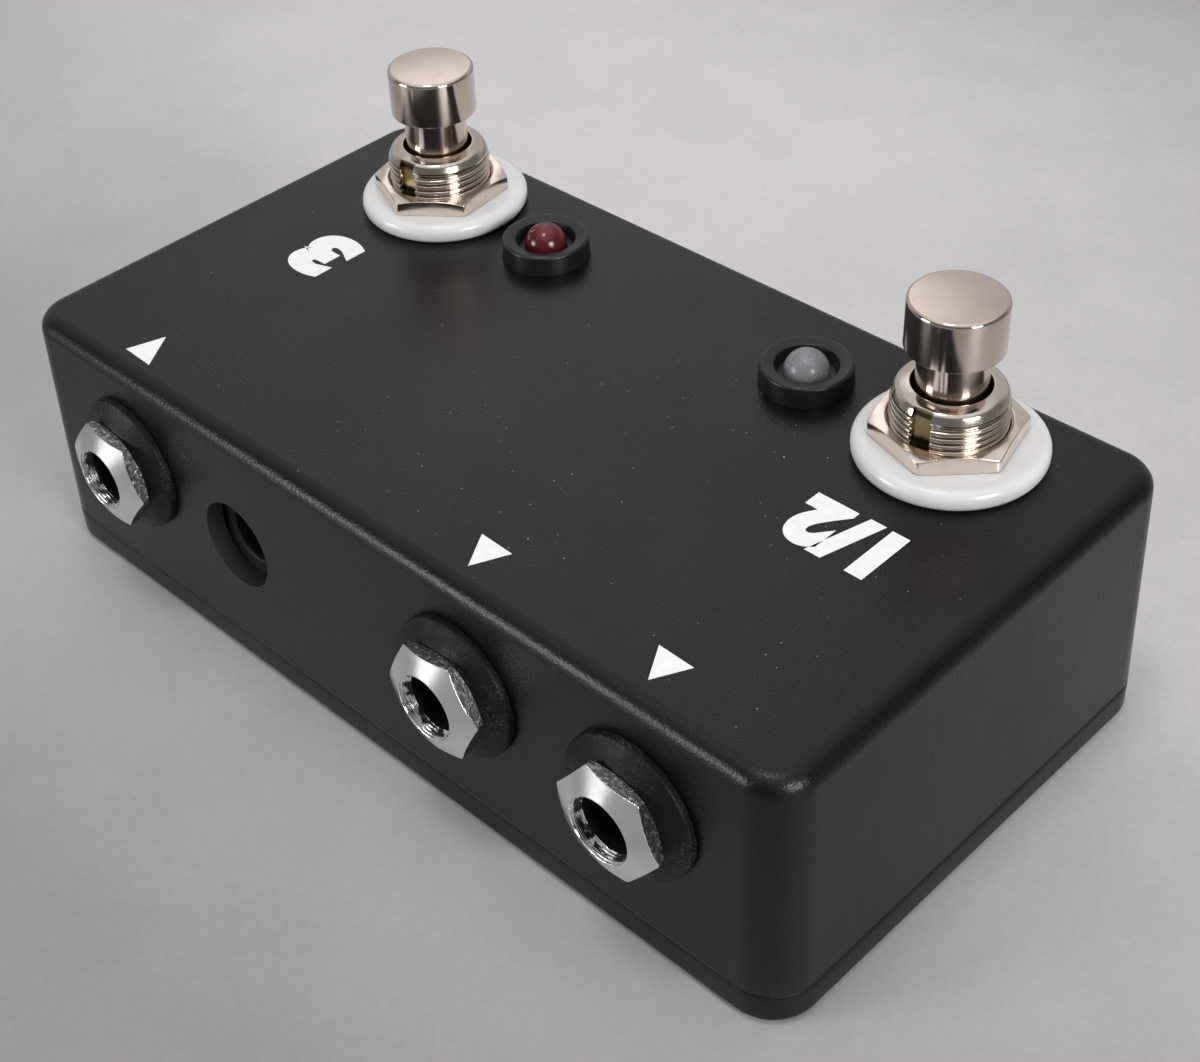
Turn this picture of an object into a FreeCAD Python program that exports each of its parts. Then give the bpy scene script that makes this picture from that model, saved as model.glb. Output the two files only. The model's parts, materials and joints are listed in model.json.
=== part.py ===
import FreeCAD, Part
import math
import os

# A footswitch box: two press switches and two lamps on top, three 6.35 mm jacks and a
# power inlet on the long side. Millimetres, +Z up, +X along the length, the jacks face -Y.
# The origin is the middle of the underside.

V = FreeCAD.Vector
os.makedirs("parts", exist_ok=True)

# Die-cast box
box_length = 112.4
box_width = 60.5
box_height = 31.0
lid_edge = 3.7
draft_angle = 1.2
corner_radius = 5.15
top_round = 2.1
foot_round = 0.85
seam_bevel = 0.2
wall = 2.2
roof = 2.2
cavity_round = 1.2
post_radius = 3.7
lid_floor = 2.2
lip_height = 1.5
lip_width = 1.4
lip_gap = 0.25
post_gap = 0.3
screw_hole_spare = 1.0
cut_past = 1.0

# Lid screws, M3.5 countersunk
screw_radius = 1.7
screw_length = 11.8
screw_tip = 0.5
screw_head_radius = 3.2
screw_head_depth = 1.5
screw_sunk = 0.15
recess_width = 0.8
recess_length = 3.6
recess_depth = 1.1

# Gaps that pieces of one body keep from each other
thread_gap = 0.05
fit_gap = 0.05
free_gap = 0.1
running_gap = 0.08
press_fit_gap = 0.02
plunger_stop_gap = 0.3

# Places on the top, from the ends and the plain side of the box
switch_from_end = (19.95, 18.63)
switch_from_side = 13.05
lamp_from_switch = (17.55, 17.87)
nut_turn = (37.0, 44.0)
washer_shift = ((0.1, 0.3), (0.5, -0.14))

# Footswitch, above the panel
bush_radius = 5.95
bush_length = 11.1
collar_height = 1.6
collar_radius = 5.78
collar_bevel = 0.6
groove_depth = 0.35
groove_height = 0.3
bush_spigot_radius = 5.0
bush_floor = 1.0
bush_chamfer = 0.4
keyway_width = 2.1
keyway_depth = 0.8
keyway_turn = 6.0
mouth_radius = 4.3
washer_radius = 9.85
washer_height = 2.3
washer_hole_radius = 6.6
washer_round = 0.95
switch_nut_flats = 14.0
switch_nut_height = 1.9
nut_chamfer = 0.45
nut_countersink = 0.25
nut_face_spare = 0.1

# Plunger
travel = 3.0
cap_radius = 4.97
cap_height = 5.1
cap_round = 0.35
cap_taper = 0.9
neck_radius = 3.54
cap_lift = 9.7
neck_depth = 3.9
stem_radius = 2.0
stem_pin_radius = 1.0
stem_pin_length = 1.9
spring_radius = 3.0
spring_wire = 0.3
spring_turns = 4
spring_steps = 12

# Footswitch, below the panel
lock_height = 0.5
lock_radius = 8.0
lock_teeth = 12
lock_tooth_depth = 0.9
lock_notch_width = 1.6
frame_height = 0.8
frame_flap = 0.7
frame_round = 1.0
flap_length = 8.0
flap_width = 11.0
flap_window = 2.8
flap_window_drop = 4.8
catch_root = 0.2
catch_reach = 0.5
housing_length = 15.9
housing_width = 17.2
housing_height = 13.8
housing_wall = 1.35
housing_floor = 1.0
housing_round = 0.5
spigot_drop = 0.3
actuator_radius = 2.8
actuator_flange = 0.8
actuator_taper = 1.4
actuator_tip_radius = 1.2
actuator_tip = 1.3
actuator_tip_round = 0.54
lug_pitch_x = 4.7
lug_pitch_y = 5.3
lug_width = 2.0
lug_thickness = 0.8
lug_length = 4.5
lug_eye = 0.5
lug_eye_height = 1.6
contact_head = 0.3
contact_head_reach = 0.5
common_head = 0.9
rocker_tilt = 14.0
press_gap = 0.2
rocker_side_gap = 0.3
pivot_radius = 0.9
pivot_reach = 0.7
rocker_half_flat = 1.7
rocker_flat_drop = 0.6
ear_reach = 3.4
ear_height = 2.1
ear_tip = 0.7
rocker_thickness = 1.1
finger_gap = 0.65
finger_width = 1.6
finger_half = 0.7
blade_tilt = 7.0
blade_half = 5.2
blade_width = 2.4
blade_thickness = 0.3
blade_gap = 0.25
blade_round = 0.6

# Lamps
bezel_foot_radius = 5.08
bezel_rim_radius = 4.95
bezel_height = 2.45
bezel_lip_radius = 3.45
bezel_lip_drop = 0.3
bezel_dish_radius = 3.05
bezel_dish_depth = 1.6
bezel_round = 0.3
sleeve_radius = 3.9
sleeve_gap = 0.1
sleeve_length = 6.4
sleeve_slit = 0.8
slit_below_roof = 1.2
ring_radius = 5.0
ring_height = 3.0
ring_chamfer = 0.3
lens_radius = 2.45
lens_centre_lift = 1.3
lens_length = 8.65
lens_flange_radius = 2.85
lens_flange_height = 1.0
lens_flat = 2.5
lead_pitch = 2.54
lead_width = 0.5
lead_end_height = 14.2
lead_fit_gap = 0.02
leg_drop = 0.6
bridge_drop = 0.2
bridge_height = 1.0
anvil_rise = 3.6
anvil_reach = 1.15
post_drop = 0.3
post_reach = 0.35
cup_radius = 0.85
cup_offset = 0.4
cup_height = 1.0
cup_depth = 0.7
cup_floor_radius = 0.3
cup_wall = 0.12

# Places on the long side that the jacks face
jack_from_end = (18.4, 17.7)
jack_pitch = 23.05
jack_height = 18.6
jack_nut_turn = (53.0, 5.0, 52.0)
inlet_from_jack = 18.2
inlet_drop = 2.0

# Jacks, with depth measured inwards from the outer face of the side
plug_bore_radius = 3.25
thread_radius = 4.5
panel_hole_radius = 4.65
jack_washer_radius = 7.85
jack_washer_height = 2.1
jack_washer_rim = 0.8
jack_washer_seat = 5.5
jack_washer_chamfer = 0.2
jack_nut_flats = 11.05
jack_nut_side = 1.22
jack_nut_back = 0.5
jack_nut_face_spare = 0.2
nose_height = 1.2
nose_rim_radius = 3.66
nose_chamfer = 0.11
nose_wall = 1.4
jack_width = 15.2
jack_above = 7.4
jack_depth = 24.3
jack_back_wall = 0.5
jack_edge_round = 0.7
side_recess = 0.6
recess_foot = 3.0
recess_top = 2.5
recess_back = 3.0
recess_front = 5.0
contact_width = 2.8
contact_thickness = 0.4
contact_gap = 0.12
tip_contact_start = 13.2
sleeve_contact_start = 4.2
sleeve_contact_end = 12.0
pin_width = 0.8
pin_shoulder = 0.5
pin_below_board = 1.4

# Power inlet
inlet_hole_radius = 5.15
inlet_width = 9.0
inlet_above = 4.5
inlet_depth = 14.2
inlet_edge_round = 0.5
inlet_mouth = 0.4
barrel_radius = 3.15
barrel_depth = 9.6
centre_pin_radius = 1.05
centre_pin_length = 8.4
centre_pin_round = 0.63
inlet_pin_width = 1.0
tail_width = 2.4
tail_rise = 1.5
tail_thickness = 0.7
leaf_width = 2.2
leaf_thickness = 0.3
leaf_start = 2.6
leaf_end = 7.5
leaf_slot_gap = 0.2

# Circuit board under the jacks
board_below = 9.0
board_thickness = 1.6
board_post_gap = 0.85
board_front = 3.0
board_behind_jacks = 1.75
board_round = 1.5
pin_hole_gap = 0.12

# Resistors on the board
resistor_from_inlet = (8.0, 12.5)
resistor_depth = 14.0
resistor_radius = 1.2
resistor_round = 0.48
resistor_length = 6.3
resistor_lift = 0.15
resistor_lead = 0.3
resistor_lead_bend = 0.7
resistor_lead_reach = 1.8
resistor_pin_below_board = 1.0

# Wires
wire_radius = 0.55
wire_bend = 1.8
wire_height = 5.3
wire_board_depth = 21.0
wire_end_gap = 0.02

# Heights and places that follow from the sizes above
slope = math.tan(math.radians(draft_angle))
roof_under = box_height - roof
frame_top = roof_under - lock_height
bush_top = frame_top + bush_length
bush_bottom = frame_top - frame_height - spigot_drop
spring_floor = frame_top + bush_floor
cap_top = bush_top + cap_lift
neck_bottom = bush_top - neck_depth
housing_top = frame_top - frame_height
housing_bottom = housing_top - housing_height
floor_top = housing_bottom + housing_floor
actuator_top = bush_bottom - plunger_stop_gap
tip_end = actuator_top - actuator_flange - actuator_taper - actuator_tip
pivot_height = tip_end - travel - press_gap
blade_height = floor_top + common_head + blade_gap
finger_length = pivot_height - blade_height - blade_thickness - finger_gap
rocker_half = housing_length / 2 - fit_gap - housing_wall - rocker_side_gap
lens_foot = box_height + lens_centre_lift + lens_radius - lens_length
jack_front = wall + fit_gap
jack_back = jack_front + jack_depth
jack_rim = jack_washer_height + jack_nut_side + nose_height
inlet_back = jack_front + inlet_depth
board_back = jack_back + board_behind_jacks
half_length = box_length / 2
half_width = box_width / 2
side_at_jacks = half_width - (jack_height - lid_edge) * slope
post_x = half_length - corner_radius
post_y = half_width - corner_radius
switch_x = (switch_from_end[0] - half_length, half_length - switch_from_end[1])
switch_y = half_width - switch_from_side
lamp_x = (switch_x[0] + lamp_from_switch[0], switch_x[1] - lamp_from_switch[1])
lamp_y = switch_y
right_jack_x = half_length - jack_from_end[1]
jack_x = (jack_from_end[0] - half_length, right_jack_x - jack_pitch, right_jack_x)
inlet_x = jack_x[0] + inlet_from_jack
resistor_x = (inlet_x + resistor_from_inlet[0], inlet_x + resistor_from_inlet[1])
board_length = 2 * (post_x - post_radius - board_post_gap)
nut_bore_radius = nose_rim_radius - nose_chamfer


def cylinder(radius, low, high, x=0.0, y=0.0):
    return Part.makeCylinder(radius, high - low, V(x, y, low))


def cone(low_radius, high_radius, low, high, x=0.0, y=0.0):
    return Part.makeCone(low_radius, high_radius, high - low, V(x, y, low))


def block(x0, x1, y0, y1, z0, z1):
    return Part.makeBox(x1 - x0, y1 - y0, z1 - z0, V(x0, y0, z0))


def turned(points):
    """A solid of revolution about Z from its outline as (radius, height) pairs."""
    corners = [V(radius, 0, height) for radius, height in points]
    outline = Part.makePolygon(corners + corners[:1])
    return Part.Face(outline).revolve(V(0, 0, 0), V(0, 0, 1), 360)


def hexagon(flats, low, high, turn):
    """A hexagonal prism about Z with one corner at the given angle."""
    radius = flats / math.sqrt(3)
    corners = []
    for k in range(7):
        angle = math.radians(turn + 60 * k)
        corners.append(V(radius * math.cos(angle), radius * math.sin(angle), low))
    return Part.Face(Part.makePolygon(corners)).extrude(V(0, 0, high - low))


def outline(length, width, radius, height):
    """A rectangle with round corners, as a wire."""
    x = length / 2 - radius
    y = width / 2 - radius
    centres = ((x, y), (-x, y), (-x, -y), (x, -y))
    arcs = []
    for k, (cx, cy) in enumerate(centres):
        circle = Part.Circle(V(cx, cy, height), V(0, 0, 1), radius)
        start = math.radians(90 * k)
        arcs.append(Part.ArcOfCircle(circle, start, start + math.pi / 2).toShape())
    edges = []
    for k in range(4):
        following = arcs[(k + 1) % 4]
        edges.append(arcs[k])
        edges.append(Part.makeLine(arcs[k].Vertexes[-1].Point, following.Vertexes[0].Point))
    return Part.Wire(edges)


def slab(length, width, radius, low, high):
    return Part.Face(outline(length, width, radius, low)).extrude(V(0, 0, high - low))


def drafted(inset, low, high):
    """The box's outline drawn in by inset, leaning inwards from the top of the lid up."""
    rings = []
    for height in (low, high):
        back = inset + (height - lid_edge) * slope
        length = box_length - 2 * back
        width = box_width - 2 * back
        rings.append(outline(length, width, corner_radius - back, height))
    return Part.makeLoft(rings, True, True)


def round_edges(shape, radius, wanted):
    return shape.makeFillet(radius, [edge for edge in shape.Edges if wanted(edge)])


def bevel_edges(shape, size, wanted):
    return shape.makeChamfer(size, [edge for edge in shape.Edges if wanted(edge)])


def level(height):
    """Picks the edges that lie flat at a height."""
    return lambda edge: all(abs(vertex.Z - height) < 1e-6 for vertex in edge.Vertexes)


def runs_along(edge, direction):
    straight = isinstance(edge.Curve, Part.Line)
    return straight and abs(edge.tangentAt(edge.FirstParameter).dot(direction)) > 1 - 1e-6


def upright(edge):
    return runs_along(edge, V(0, 0, 1))


def across(edge):
    return runs_along(edge, V(0, 1, 0))


def circular(edge):
    return isinstance(edge.Curve, Part.Circle)


def joined(shapes):
    first, rest = shapes[0], shapes[1:]
    return first.fuse(rest).removeSplitter()


def post_places():
    return [(sx * post_x, sy * post_y) for sx in (-1, 1) for sy in (-1, 1)]


def on_side(shape):
    """Stands a piece drawn along +Z, outwards, on the leaning side that the jacks face."""
    turn = FreeCAD.Rotation(V(1, 0, 0), 90 - draft_angle)
    leaning = FreeCAD.Placement(V(0, -side_at_jacks, jack_height), turn)
    placed = shape.copy()
    placed.Placement = leaning.multiply(shape.Placement)
    return placed


def side_point(x, up, depth):
    turn = FreeCAD.Rotation(V(1, 0, 0), 90 - draft_angle)
    return V(0, -side_at_jacks, jack_height) + turn.multVec(V(x, up, -depth))


def enclosure_body():
    shell = round_edges(drafted(0, lid_edge, box_height), top_round, level(box_height))
    shell = bevel_edges(shell, seam_bevel, level(lid_edge))
    cavity = round_edges(drafted(wall, lid_edge, roof_under), cavity_round, level(roof_under))
    shell = shell.cut(cavity)
    posts = [cylinder(post_radius, lid_edge, roof_under, x, y) for x, y in post_places()]
    shell = joined([shell] + posts)
    holes = []
    low = roof_under - cut_past
    high = box_height + cut_past
    for x, y in post_places():
        holes.append(cylinder(screw_radius + thread_gap, lid_edge, screw_length + screw_hole_spare, x, y))
    for x in switch_x:
        holes.append(cylinder(bush_radius + free_gap, low, high, x, switch_y))
    for x in lamp_x:
        holes.append(cylinder(sleeve_radius + sleeve_gap, low, high, x, lamp_y))
    for x in jack_x:
        holes.append(on_side(cylinder(panel_hole_radius, -wall - cut_past, cut_past, x)))
    holes.append(on_side(cylinder(inlet_hole_radius, -wall - cut_past, cut_past, inlet_x, -inlet_drop)))
    return shell.cut(holes)


def base_plate():
    plate = slab(box_length, box_width, corner_radius, 0, lid_edge)
    plate = round_edges(plate, foot_round, level(0))
    plate = bevel_edges(plate, seam_bevel, level(lid_edge))
    outer = wall + lip_gap
    inner = outer + lip_width
    ring_outer = slab(box_length - 2 * outer, box_width - 2 * outer, corner_radius - outer,
                      lid_edge, lid_edge + lip_height)
    ring_inner = slab(box_length - 2 * inner, box_width - 2 * inner, corner_radius - inner,
                      lid_floor, lid_edge + lip_height)
    lip = ring_outer.cut(ring_inner)
    pocket = slab(box_length - 2 * inner, box_width - 2 * inner, corner_radius - inner,
                  lid_floor, lid_edge)
    for x, y in post_places():
        reach = post_radius + post_gap
        lip = lip.cut(cylinder(reach, lid_edge, lid_edge + lip_height, x, y))
        pocket = pocket.cut(cylinder(reach, lid_floor, lid_edge, x, y))
    plate = joined([plate.cut(pocket), lip])
    for x, y in post_places():
        head = screw_head_radius + fit_gap
        shank = screw_radius + free_gap
        plate = plate.cut(cylinder(shank, 0, lid_edge, x, y))
        plate = plate.cut(cylinder(head, 0, screw_sunk, x, y))
        plate = plate.cut(cone(head, shank, screw_sunk, screw_sunk + screw_head_depth, x, y))
    return plate


def base_screws():
    screws = []
    neck = screw_sunk + screw_head_depth
    tip = screw_tip
    for x, y in post_places():
        head = cone(screw_head_radius, screw_radius, screw_sunk, neck, x, y)
        shank = cylinder(screw_radius, neck, screw_length - tip, x, y)
        point = cone(screw_radius, screw_radius - tip, screw_length - tip, screw_length, x, y)
        screw = joined([head, shank, point])
        half = recess_length / 2
        thin = recess_width / 2
        low = screw_sunk
        high = screw_sunk + recess_depth
        screw = screw.cut(block(x - half, x + half, y - thin, y + thin, low, high))
        screw = screw.cut(block(x - thin, x + thin, y - half, y + half, low, high))
        screws.append(screw)
    return Part.makeCompound(screws)


def switch_plunger():
    cap_foot = cap_top - cap_height
    cap = round_edges(cylinder(cap_radius, cap_foot, cap_top), cap_round, level(cap_top))
    taper = cone(neck_radius, cap_radius, cap_foot - cap_taper, cap_foot)
    neck = cylinder(neck_radius, neck_bottom, cap_foot - cap_taper)
    stem = cylinder(stem_radius, actuator_top, neck_bottom)
    pin = cylinder(stem_pin_radius, actuator_top - stem_pin_length, actuator_top)
    return joined([cap, taper, neck, stem, pin])


def switch_actuator():
    top = actuator_top
    flange_foot = top - actuator_flange
    taper_foot = flange_foot - actuator_taper
    flange = cylinder(actuator_radius, flange_foot, top)
    taper = cone(actuator_tip_radius, actuator_radius, taper_foot, flange_foot)
    tip = cylinder(actuator_tip_radius, tip_end, taper_foot)
    body = joined([flange, taper, tip])
    body = round_edges(body, actuator_tip_round, level(tip_end))
    hole = cylinder(stem_pin_radius + press_fit_gap, top - stem_pin_length - free_gap, top)
    return body.cut(hole)


def switch_bushing():
    shoulder = bush_top - collar_height
    groove_top = shoulder + groove_height
    bore = neck_radius + running_gap
    stem_bore = stem_radius + running_gap
    rim = bush_chamfer
    body = turned([
        (stem_bore, bush_bottom), (bush_spigot_radius, bush_bottom),
        (bush_spigot_radius, frame_top), (bush_radius, frame_top),
        (bush_radius, shoulder - rim), (bush_radius - rim, shoulder),
        (collar_radius - groove_depth, shoulder), (collar_radius - groove_depth, groove_top),
        (collar_radius, groove_top), (collar_radius, bush_top - collar_bevel),
        (collar_radius - collar_bevel, bush_top), (mouth_radius, bush_top),
        (bore, bush_top - (mouth_radius - bore)), (bore, spring_floor),
        (stem_bore, spring_floor)])
    slot_foot = bush_radius - keyway_depth
    half = keyway_width / 2
    slot = block(-half, half, -bush_radius - cut_past, -slot_foot, frame_top, bush_top)
    slot.rotate(V(0, 0, 0), V(0, 0, 1), keyway_turn)
    return body.cut(slot)


def switch_nut(turn):
    low = box_height + washer_height
    high = low + switch_nut_height
    corner = switch_nut_flats / math.sqrt(3)
    flat = switch_nut_flats / 2
    prism = hexagon(switch_nut_flats, low, high, turn)
    face = flat + nut_face_spare
    crown = turned([
        (0, low), (face, low), (corner, low + nut_chamfer), (corner, high - nut_chamfer),
        (face, high), (0, high)])
    thread = bush_radius + fit_gap
    opening = thread + nut_countersink
    hole = turned([
        (0, low), (opening, low), (thread, low + nut_countersink),
        (thread, high - nut_countersink), (opening, high), (0, high)])
    return prism.common(crown).cut(hole)


def switch_washer(shift):
    low = box_height
    high = low + washer_height
    ring = cylinder(washer_radius, low, high)
    ring = round_edges(ring, washer_round, lambda edge: level(low)(edge) or level(high)(edge))
    ring = ring.cut(cylinder(washer_hole_radius, low, high))
    ring.translate(V(shift[0], shift[1], 0))
    return ring


def switch_lock_washer():
    low = frame_top
    high = roof_under
    ring = cylinder(lock_radius, low, high).cut(cylinder(bush_radius + free_gap, low, high))
    notches = []
    half = lock_notch_width / 2
    outer = lock_radius + cut_past
    for k in range(lock_teeth):
        notch = block(lock_radius - lock_tooth_depth, outer, -half, half, low, high)
        notch.rotate(V(0, 0, 0), V(0, 0, 1), 360 * k / lock_teeth)
        notches.append(notch)
    return ring.cut(notches)


def switch_frame():
    x = housing_length / 2 + frame_flap
    y = housing_width / 2
    plate = block(-x, x, -y, y, housing_top, frame_top)
    plate = round_edges(plate, frame_round, upright)
    pieces = [plate]
    for side in (-1, 1):
        inner, outer = sorted((side * housing_length / 2, side * x))
        half = flap_width / 2
        flap = block(inner, outer, -half, half, housing_top - flap_length, frame_top)
        window = flap_window / 2
        middle = housing_top - flap_window_drop
        flap = flap.cut(block(inner, outer, -window, window, middle - window, middle + window))
        pieces.append(flap)
    frame = joined(pieces)
    return frame.cut(cylinder(bush_spigot_radius + fit_gap, housing_top, frame_top))


def switch_housing():
    x = housing_length / 2 - fit_gap
    y = housing_width / 2
    case = block(-x, x, -y, y, housing_bottom, housing_top)
    case = round_edges(case, housing_round, upright)
    inner_x = x - housing_wall
    inner_y = y - housing_wall
    case = case.cut(block(-inner_x, inner_x, -inner_y, inner_y, floor_top, housing_top))
    reach = rocker_half + pivot_reach + free_gap
    bearing = Part.makeCylinder(pivot_radius + fit_gap, 2 * reach, V(-reach, 0, pivot_height),
                                V(1, 0, 0))
    case = case.cut(bearing)
    for lug_x, lug_y in lug_places():
        half_x = lug_width / 2 + fit_gap
        half_y = lug_thickness / 2 + fit_gap
        case = case.cut(block(lug_x - half_x, lug_x + half_x, lug_y - half_y, lug_y + half_y,
                              housing_bottom, floor_top))
    catches = []
    window = flap_window / 2 - fit_gap
    middle = housing_top - flap_window_drop
    for side in (-1, 1):
        inner, outer = sorted((side * (x - catch_root), side * (x + catch_reach)))
        catches.append(block(inner, outer, -window, window, middle - window, middle + window))
    return joined([case] + catches)


def lug_places():
    places = []
    for column in (-1, 0, 1):
        for row in (-1, 0, 1):
            places.append((column * lug_pitch_x, row * lug_pitch_y))
    return places


def switch_lugs():
    lugs = []
    for x, y in lug_places():
        head_rise = common_head if y == 0 else contact_head
        half_x = lug_width / 2
        half_y = lug_thickness / 2
        low = housing_bottom - lug_length
        high = floor_top + head_rise
        lug = block(x - half_x, x + half_x, y - half_y, y + half_y, low, high)
        eye = Part.makeCylinder(lug_eye, lug_thickness, V(x, y - half_y, low + lug_eye_height),
                                V(0, 1, 0))
        head_y = half_y if y == 0 else half_y + contact_head_reach
        head = block(x - half_x, x + half_x, y - head_y, y + head_y, floor_top, high)
        lugs.append(joined([lug, head]).cut(eye))
    return Part.makeCompound(lugs)


def switch_spring():
    foot = spring_floor + spring_wire
    height = neck_bottom - spring_wire - foot
    steps = spring_turns * spring_steps
    points = []
    for k in range(steps + 1):
        angle = 2 * math.pi * k / spring_steps
        points.append(V(spring_radius * math.cos(angle), spring_radius * math.sin(angle),
                        foot + height * k / steps))
    line = Part.BSplineCurve()
    line.interpolate(points)
    path = line.toShape()
    along = path.tangentAt(path.FirstParameter)
    section = Part.Wire([Part.Circle(points[0], along, spring_wire).toShape()])
    return Part.Wire([path]).makePipeShell([section], True, True)


def switch_rocker():
    under = rocker_flat_drop + rocker_thickness
    points = [
        (-rocker_half_flat, -rocker_flat_drop), (rocker_half_flat, -rocker_flat_drop),
        (ear_reach, ear_height), (ear_reach + ear_tip, ear_height),
        (ear_reach + ear_tip, 0), (finger_half, -under),
        (finger_half, -finger_length), (-finger_half, -finger_length), (-finger_half, -under),
        (-ear_reach - ear_tip, 0), (-ear_reach - ear_tip, ear_height),
        (-ear_reach, ear_height)]
    half = rocker_half
    corners = [V(-half, y, z) for y, z in points]
    body = Part.Face(Part.makePolygon(corners + corners[:1])).extrude(V(2 * half, 0, 0))
    spaces = []
    edges = [-half]
    for column in (-1, 0, 1):
        edges += [column * lug_pitch_x - finger_width / 2, column * lug_pitch_x + finger_width / 2]
    edges.append(half)
    for start, end in zip(edges[0::2], edges[1::2]):
        spaces.append(block(start, end, -finger_half, finger_half, -finger_length, -under))
    body = body.cut(spaces)
    reach = half + pivot_reach
    pivot = Part.makeCylinder(pivot_radius, 2 * reach, V(-reach, 0, 0), V(1, 0, 0))
    channel = block(-reach, reach, -rocker_half_flat, rocker_half_flat, -rocker_flat_drop,
                    ear_height)
    channel = channel.common(block(-half, half, -ear_reach, ear_reach, -ear_height, ear_height))
    body = joined([body, pivot.cut(channel)])
    body.rotate(V(0, 0, 0), V(1, 0, 0), -rocker_tilt)
    body.translate(V(0, 0, pivot_height))
    return body


def switch_contacts():
    blades = []
    for column in (-1, 0, 1):
        x = column * lug_pitch_x
        half = blade_width / 2
        blade = block(x - half, x + half, -blade_half, blade_half, 0, blade_thickness)
        blade = round_edges(blade, blade_round, upright)
        blade.rotate(V(0, 0, 0), V(1, 0, 0), blade_tilt)
        blade.translate(V(0, 0, blade_height))
        blades.append(blade)
    return Part.makeCompound(blades)


def switch(side):
    return {
        "plunger": switch_plunger(),
        "actuator": switch_actuator(),
        "return_spring": switch_spring(),
        "bushing": switch_bushing(),
        "switch_nut": switch_nut(nut_turn[side]),
        "nylon_washer": switch_washer(washer_shift[side]),
        "lock_washer": switch_lock_washer(),
        "switch_frame": switch_frame(),
        "switch_housing": switch_housing(),
        "solder_lugs": switch_lugs(),
        "rocker": switch_rocker(),
        "seesaw_contacts": switch_contacts()}


def lamp_bezel():
    foot = box_height
    rim = box_height + bezel_height
    dish = rim - bezel_dish_depth
    bore = lens_radius + fit_gap
    seat = lens_foot + lens_flange_height + free_gap
    wide = lens_flange_radius + free_gap
    low = foot - sleeve_length
    body = turned([
        (sleeve_radius, low), (sleeve_radius, foot), (bezel_foot_radius, foot),
        (bezel_rim_radius, rim - bezel_round), (bezel_rim_radius - bezel_round, rim),
        (bezel_lip_radius, rim - bezel_lip_drop), (bezel_dish_radius, dish), (bore, dish),
        (bore, seat), (wide, seat), (wide, low)])
    slit = sleeve_slit / 2
    reach = sleeve_radius + cut_past
    for turn in (0, 90):
        cut = block(-reach, reach, -slit, slit, low, roof_under - slit_below_roof)
        cut.rotate(V(0, 0, 0), V(0, 0, 1), turn + 45)
        body = body.cut(cut)
    return body


def lamp_ring():
    low = roof_under - ring_height
    ring = cylinder(ring_radius, low, roof_under)
    ring = bevel_edges(ring, ring_chamfer, level(low))
    return ring.cut(cylinder(sleeve_radius + fit_gap, low, roof_under))


def lead_frame(grow):
    """The leg that carries the small cup and the leg that carries the post."""
    low = lens_foot if grow else lead_end_height
    half = lead_width / 2 + grow
    legs = []
    for side, rise, reach in ((-1, anvil_rise, anvil_reach), (1, anvil_rise - post_drop, post_reach)):
        x = side * lead_pitch / 2
        top = lens_foot + rise
        upright_leg = block(x - half, x + half, -half, half, low, top - leg_drop)
        x0, x1 = sorted((x - side * reach, x + side * lead_width / 2))
        bridge = block(x0 - grow, x1 + grow, -half, half,
                       top - bridge_drop - bridge_height - grow, top - bridge_drop + grow)
        legs.append([upright_leg, bridge])
    top = lens_foot + anvil_rise
    cup = cylinder(cup_radius + grow, top - cup_height - grow, top + grow, -cup_offset)
    if not grow:
        cup = cup.cut(cone(cup_floor_radius, cup_radius - cup_wall, top - cup_depth, top, -cup_offset))
    return joined(legs[0] + [cup]), joined(legs[1])


def lamp_lens():
    foot = lens_foot
    centre = box_height + lens_centre_lift
    body = joined([
        cylinder(lens_flange_radius, foot, foot + lens_flange_height),
        cylinder(lens_radius, foot, centre),
        Part.makeSphere(lens_radius, V(0, 0, centre))])
    wide = lens_flange_radius + cut_past
    flat = block(-wide, -lens_flat, -wide, wide, foot, foot + lens_flange_height)
    return body.cut([flat] + list(lead_frame(lead_fit_gap)))


def lamp_leads():
    return Part.makeCompound(list(lead_frame(0)))


def lamp():
    return {
        "lamp_bezel": lamp_bezel(),
        "lamp_ring": lamp_ring(),
        "lamp_lens": lamp_lens(),
        "lamp_leads": lamp_leads()}


def jack_washer(x):
    """A washer that rises as a cone from its thin rim to the flat seat of the nut."""
    rim = jack_washer_radius
    bevel = jack_washer_chamfer
    ring = turned([
        (panel_hole_radius, 0), (rim, 0), (rim, jack_washer_rim - bevel),
        (rim - bevel, jack_washer_rim), (jack_washer_seat, jack_washer_height),
        (panel_hole_radius, jack_washer_height)])
    ring.translate(V(x, 0, 0))
    return on_side(ring)


def jack_nut(x, turn):
    """A hexagon nut whose front is a cone that starts at its corners."""
    low = jack_washer_height
    side = low + jack_nut_side
    rim = jack_rim
    corner = jack_nut_flats / math.sqrt(3)
    face = jack_nut_flats / 2 - jack_nut_face_spare
    prism = hexagon(jack_nut_flats, low, rim, turn)
    crown = turned([
        (0, low), (face, low), (corner, low + jack_nut_back), (corner, side),
        (nose_rim_radius, rim), (0, rim)])
    thread = thread_radius + fit_gap
    shoulder = rim - nose_wall
    inside = turned([
        (0, low), (thread, low), (thread, shoulder), (nut_bore_radius, shoulder),
        (nut_bore_radius, rim - nose_chamfer), (nose_rim_radius - fit_gap, rim), (0, rim)])
    nut = prism.common(crown).cut(inside)
    nut.translate(V(x, 0, 0))
    return on_side(nut)


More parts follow.
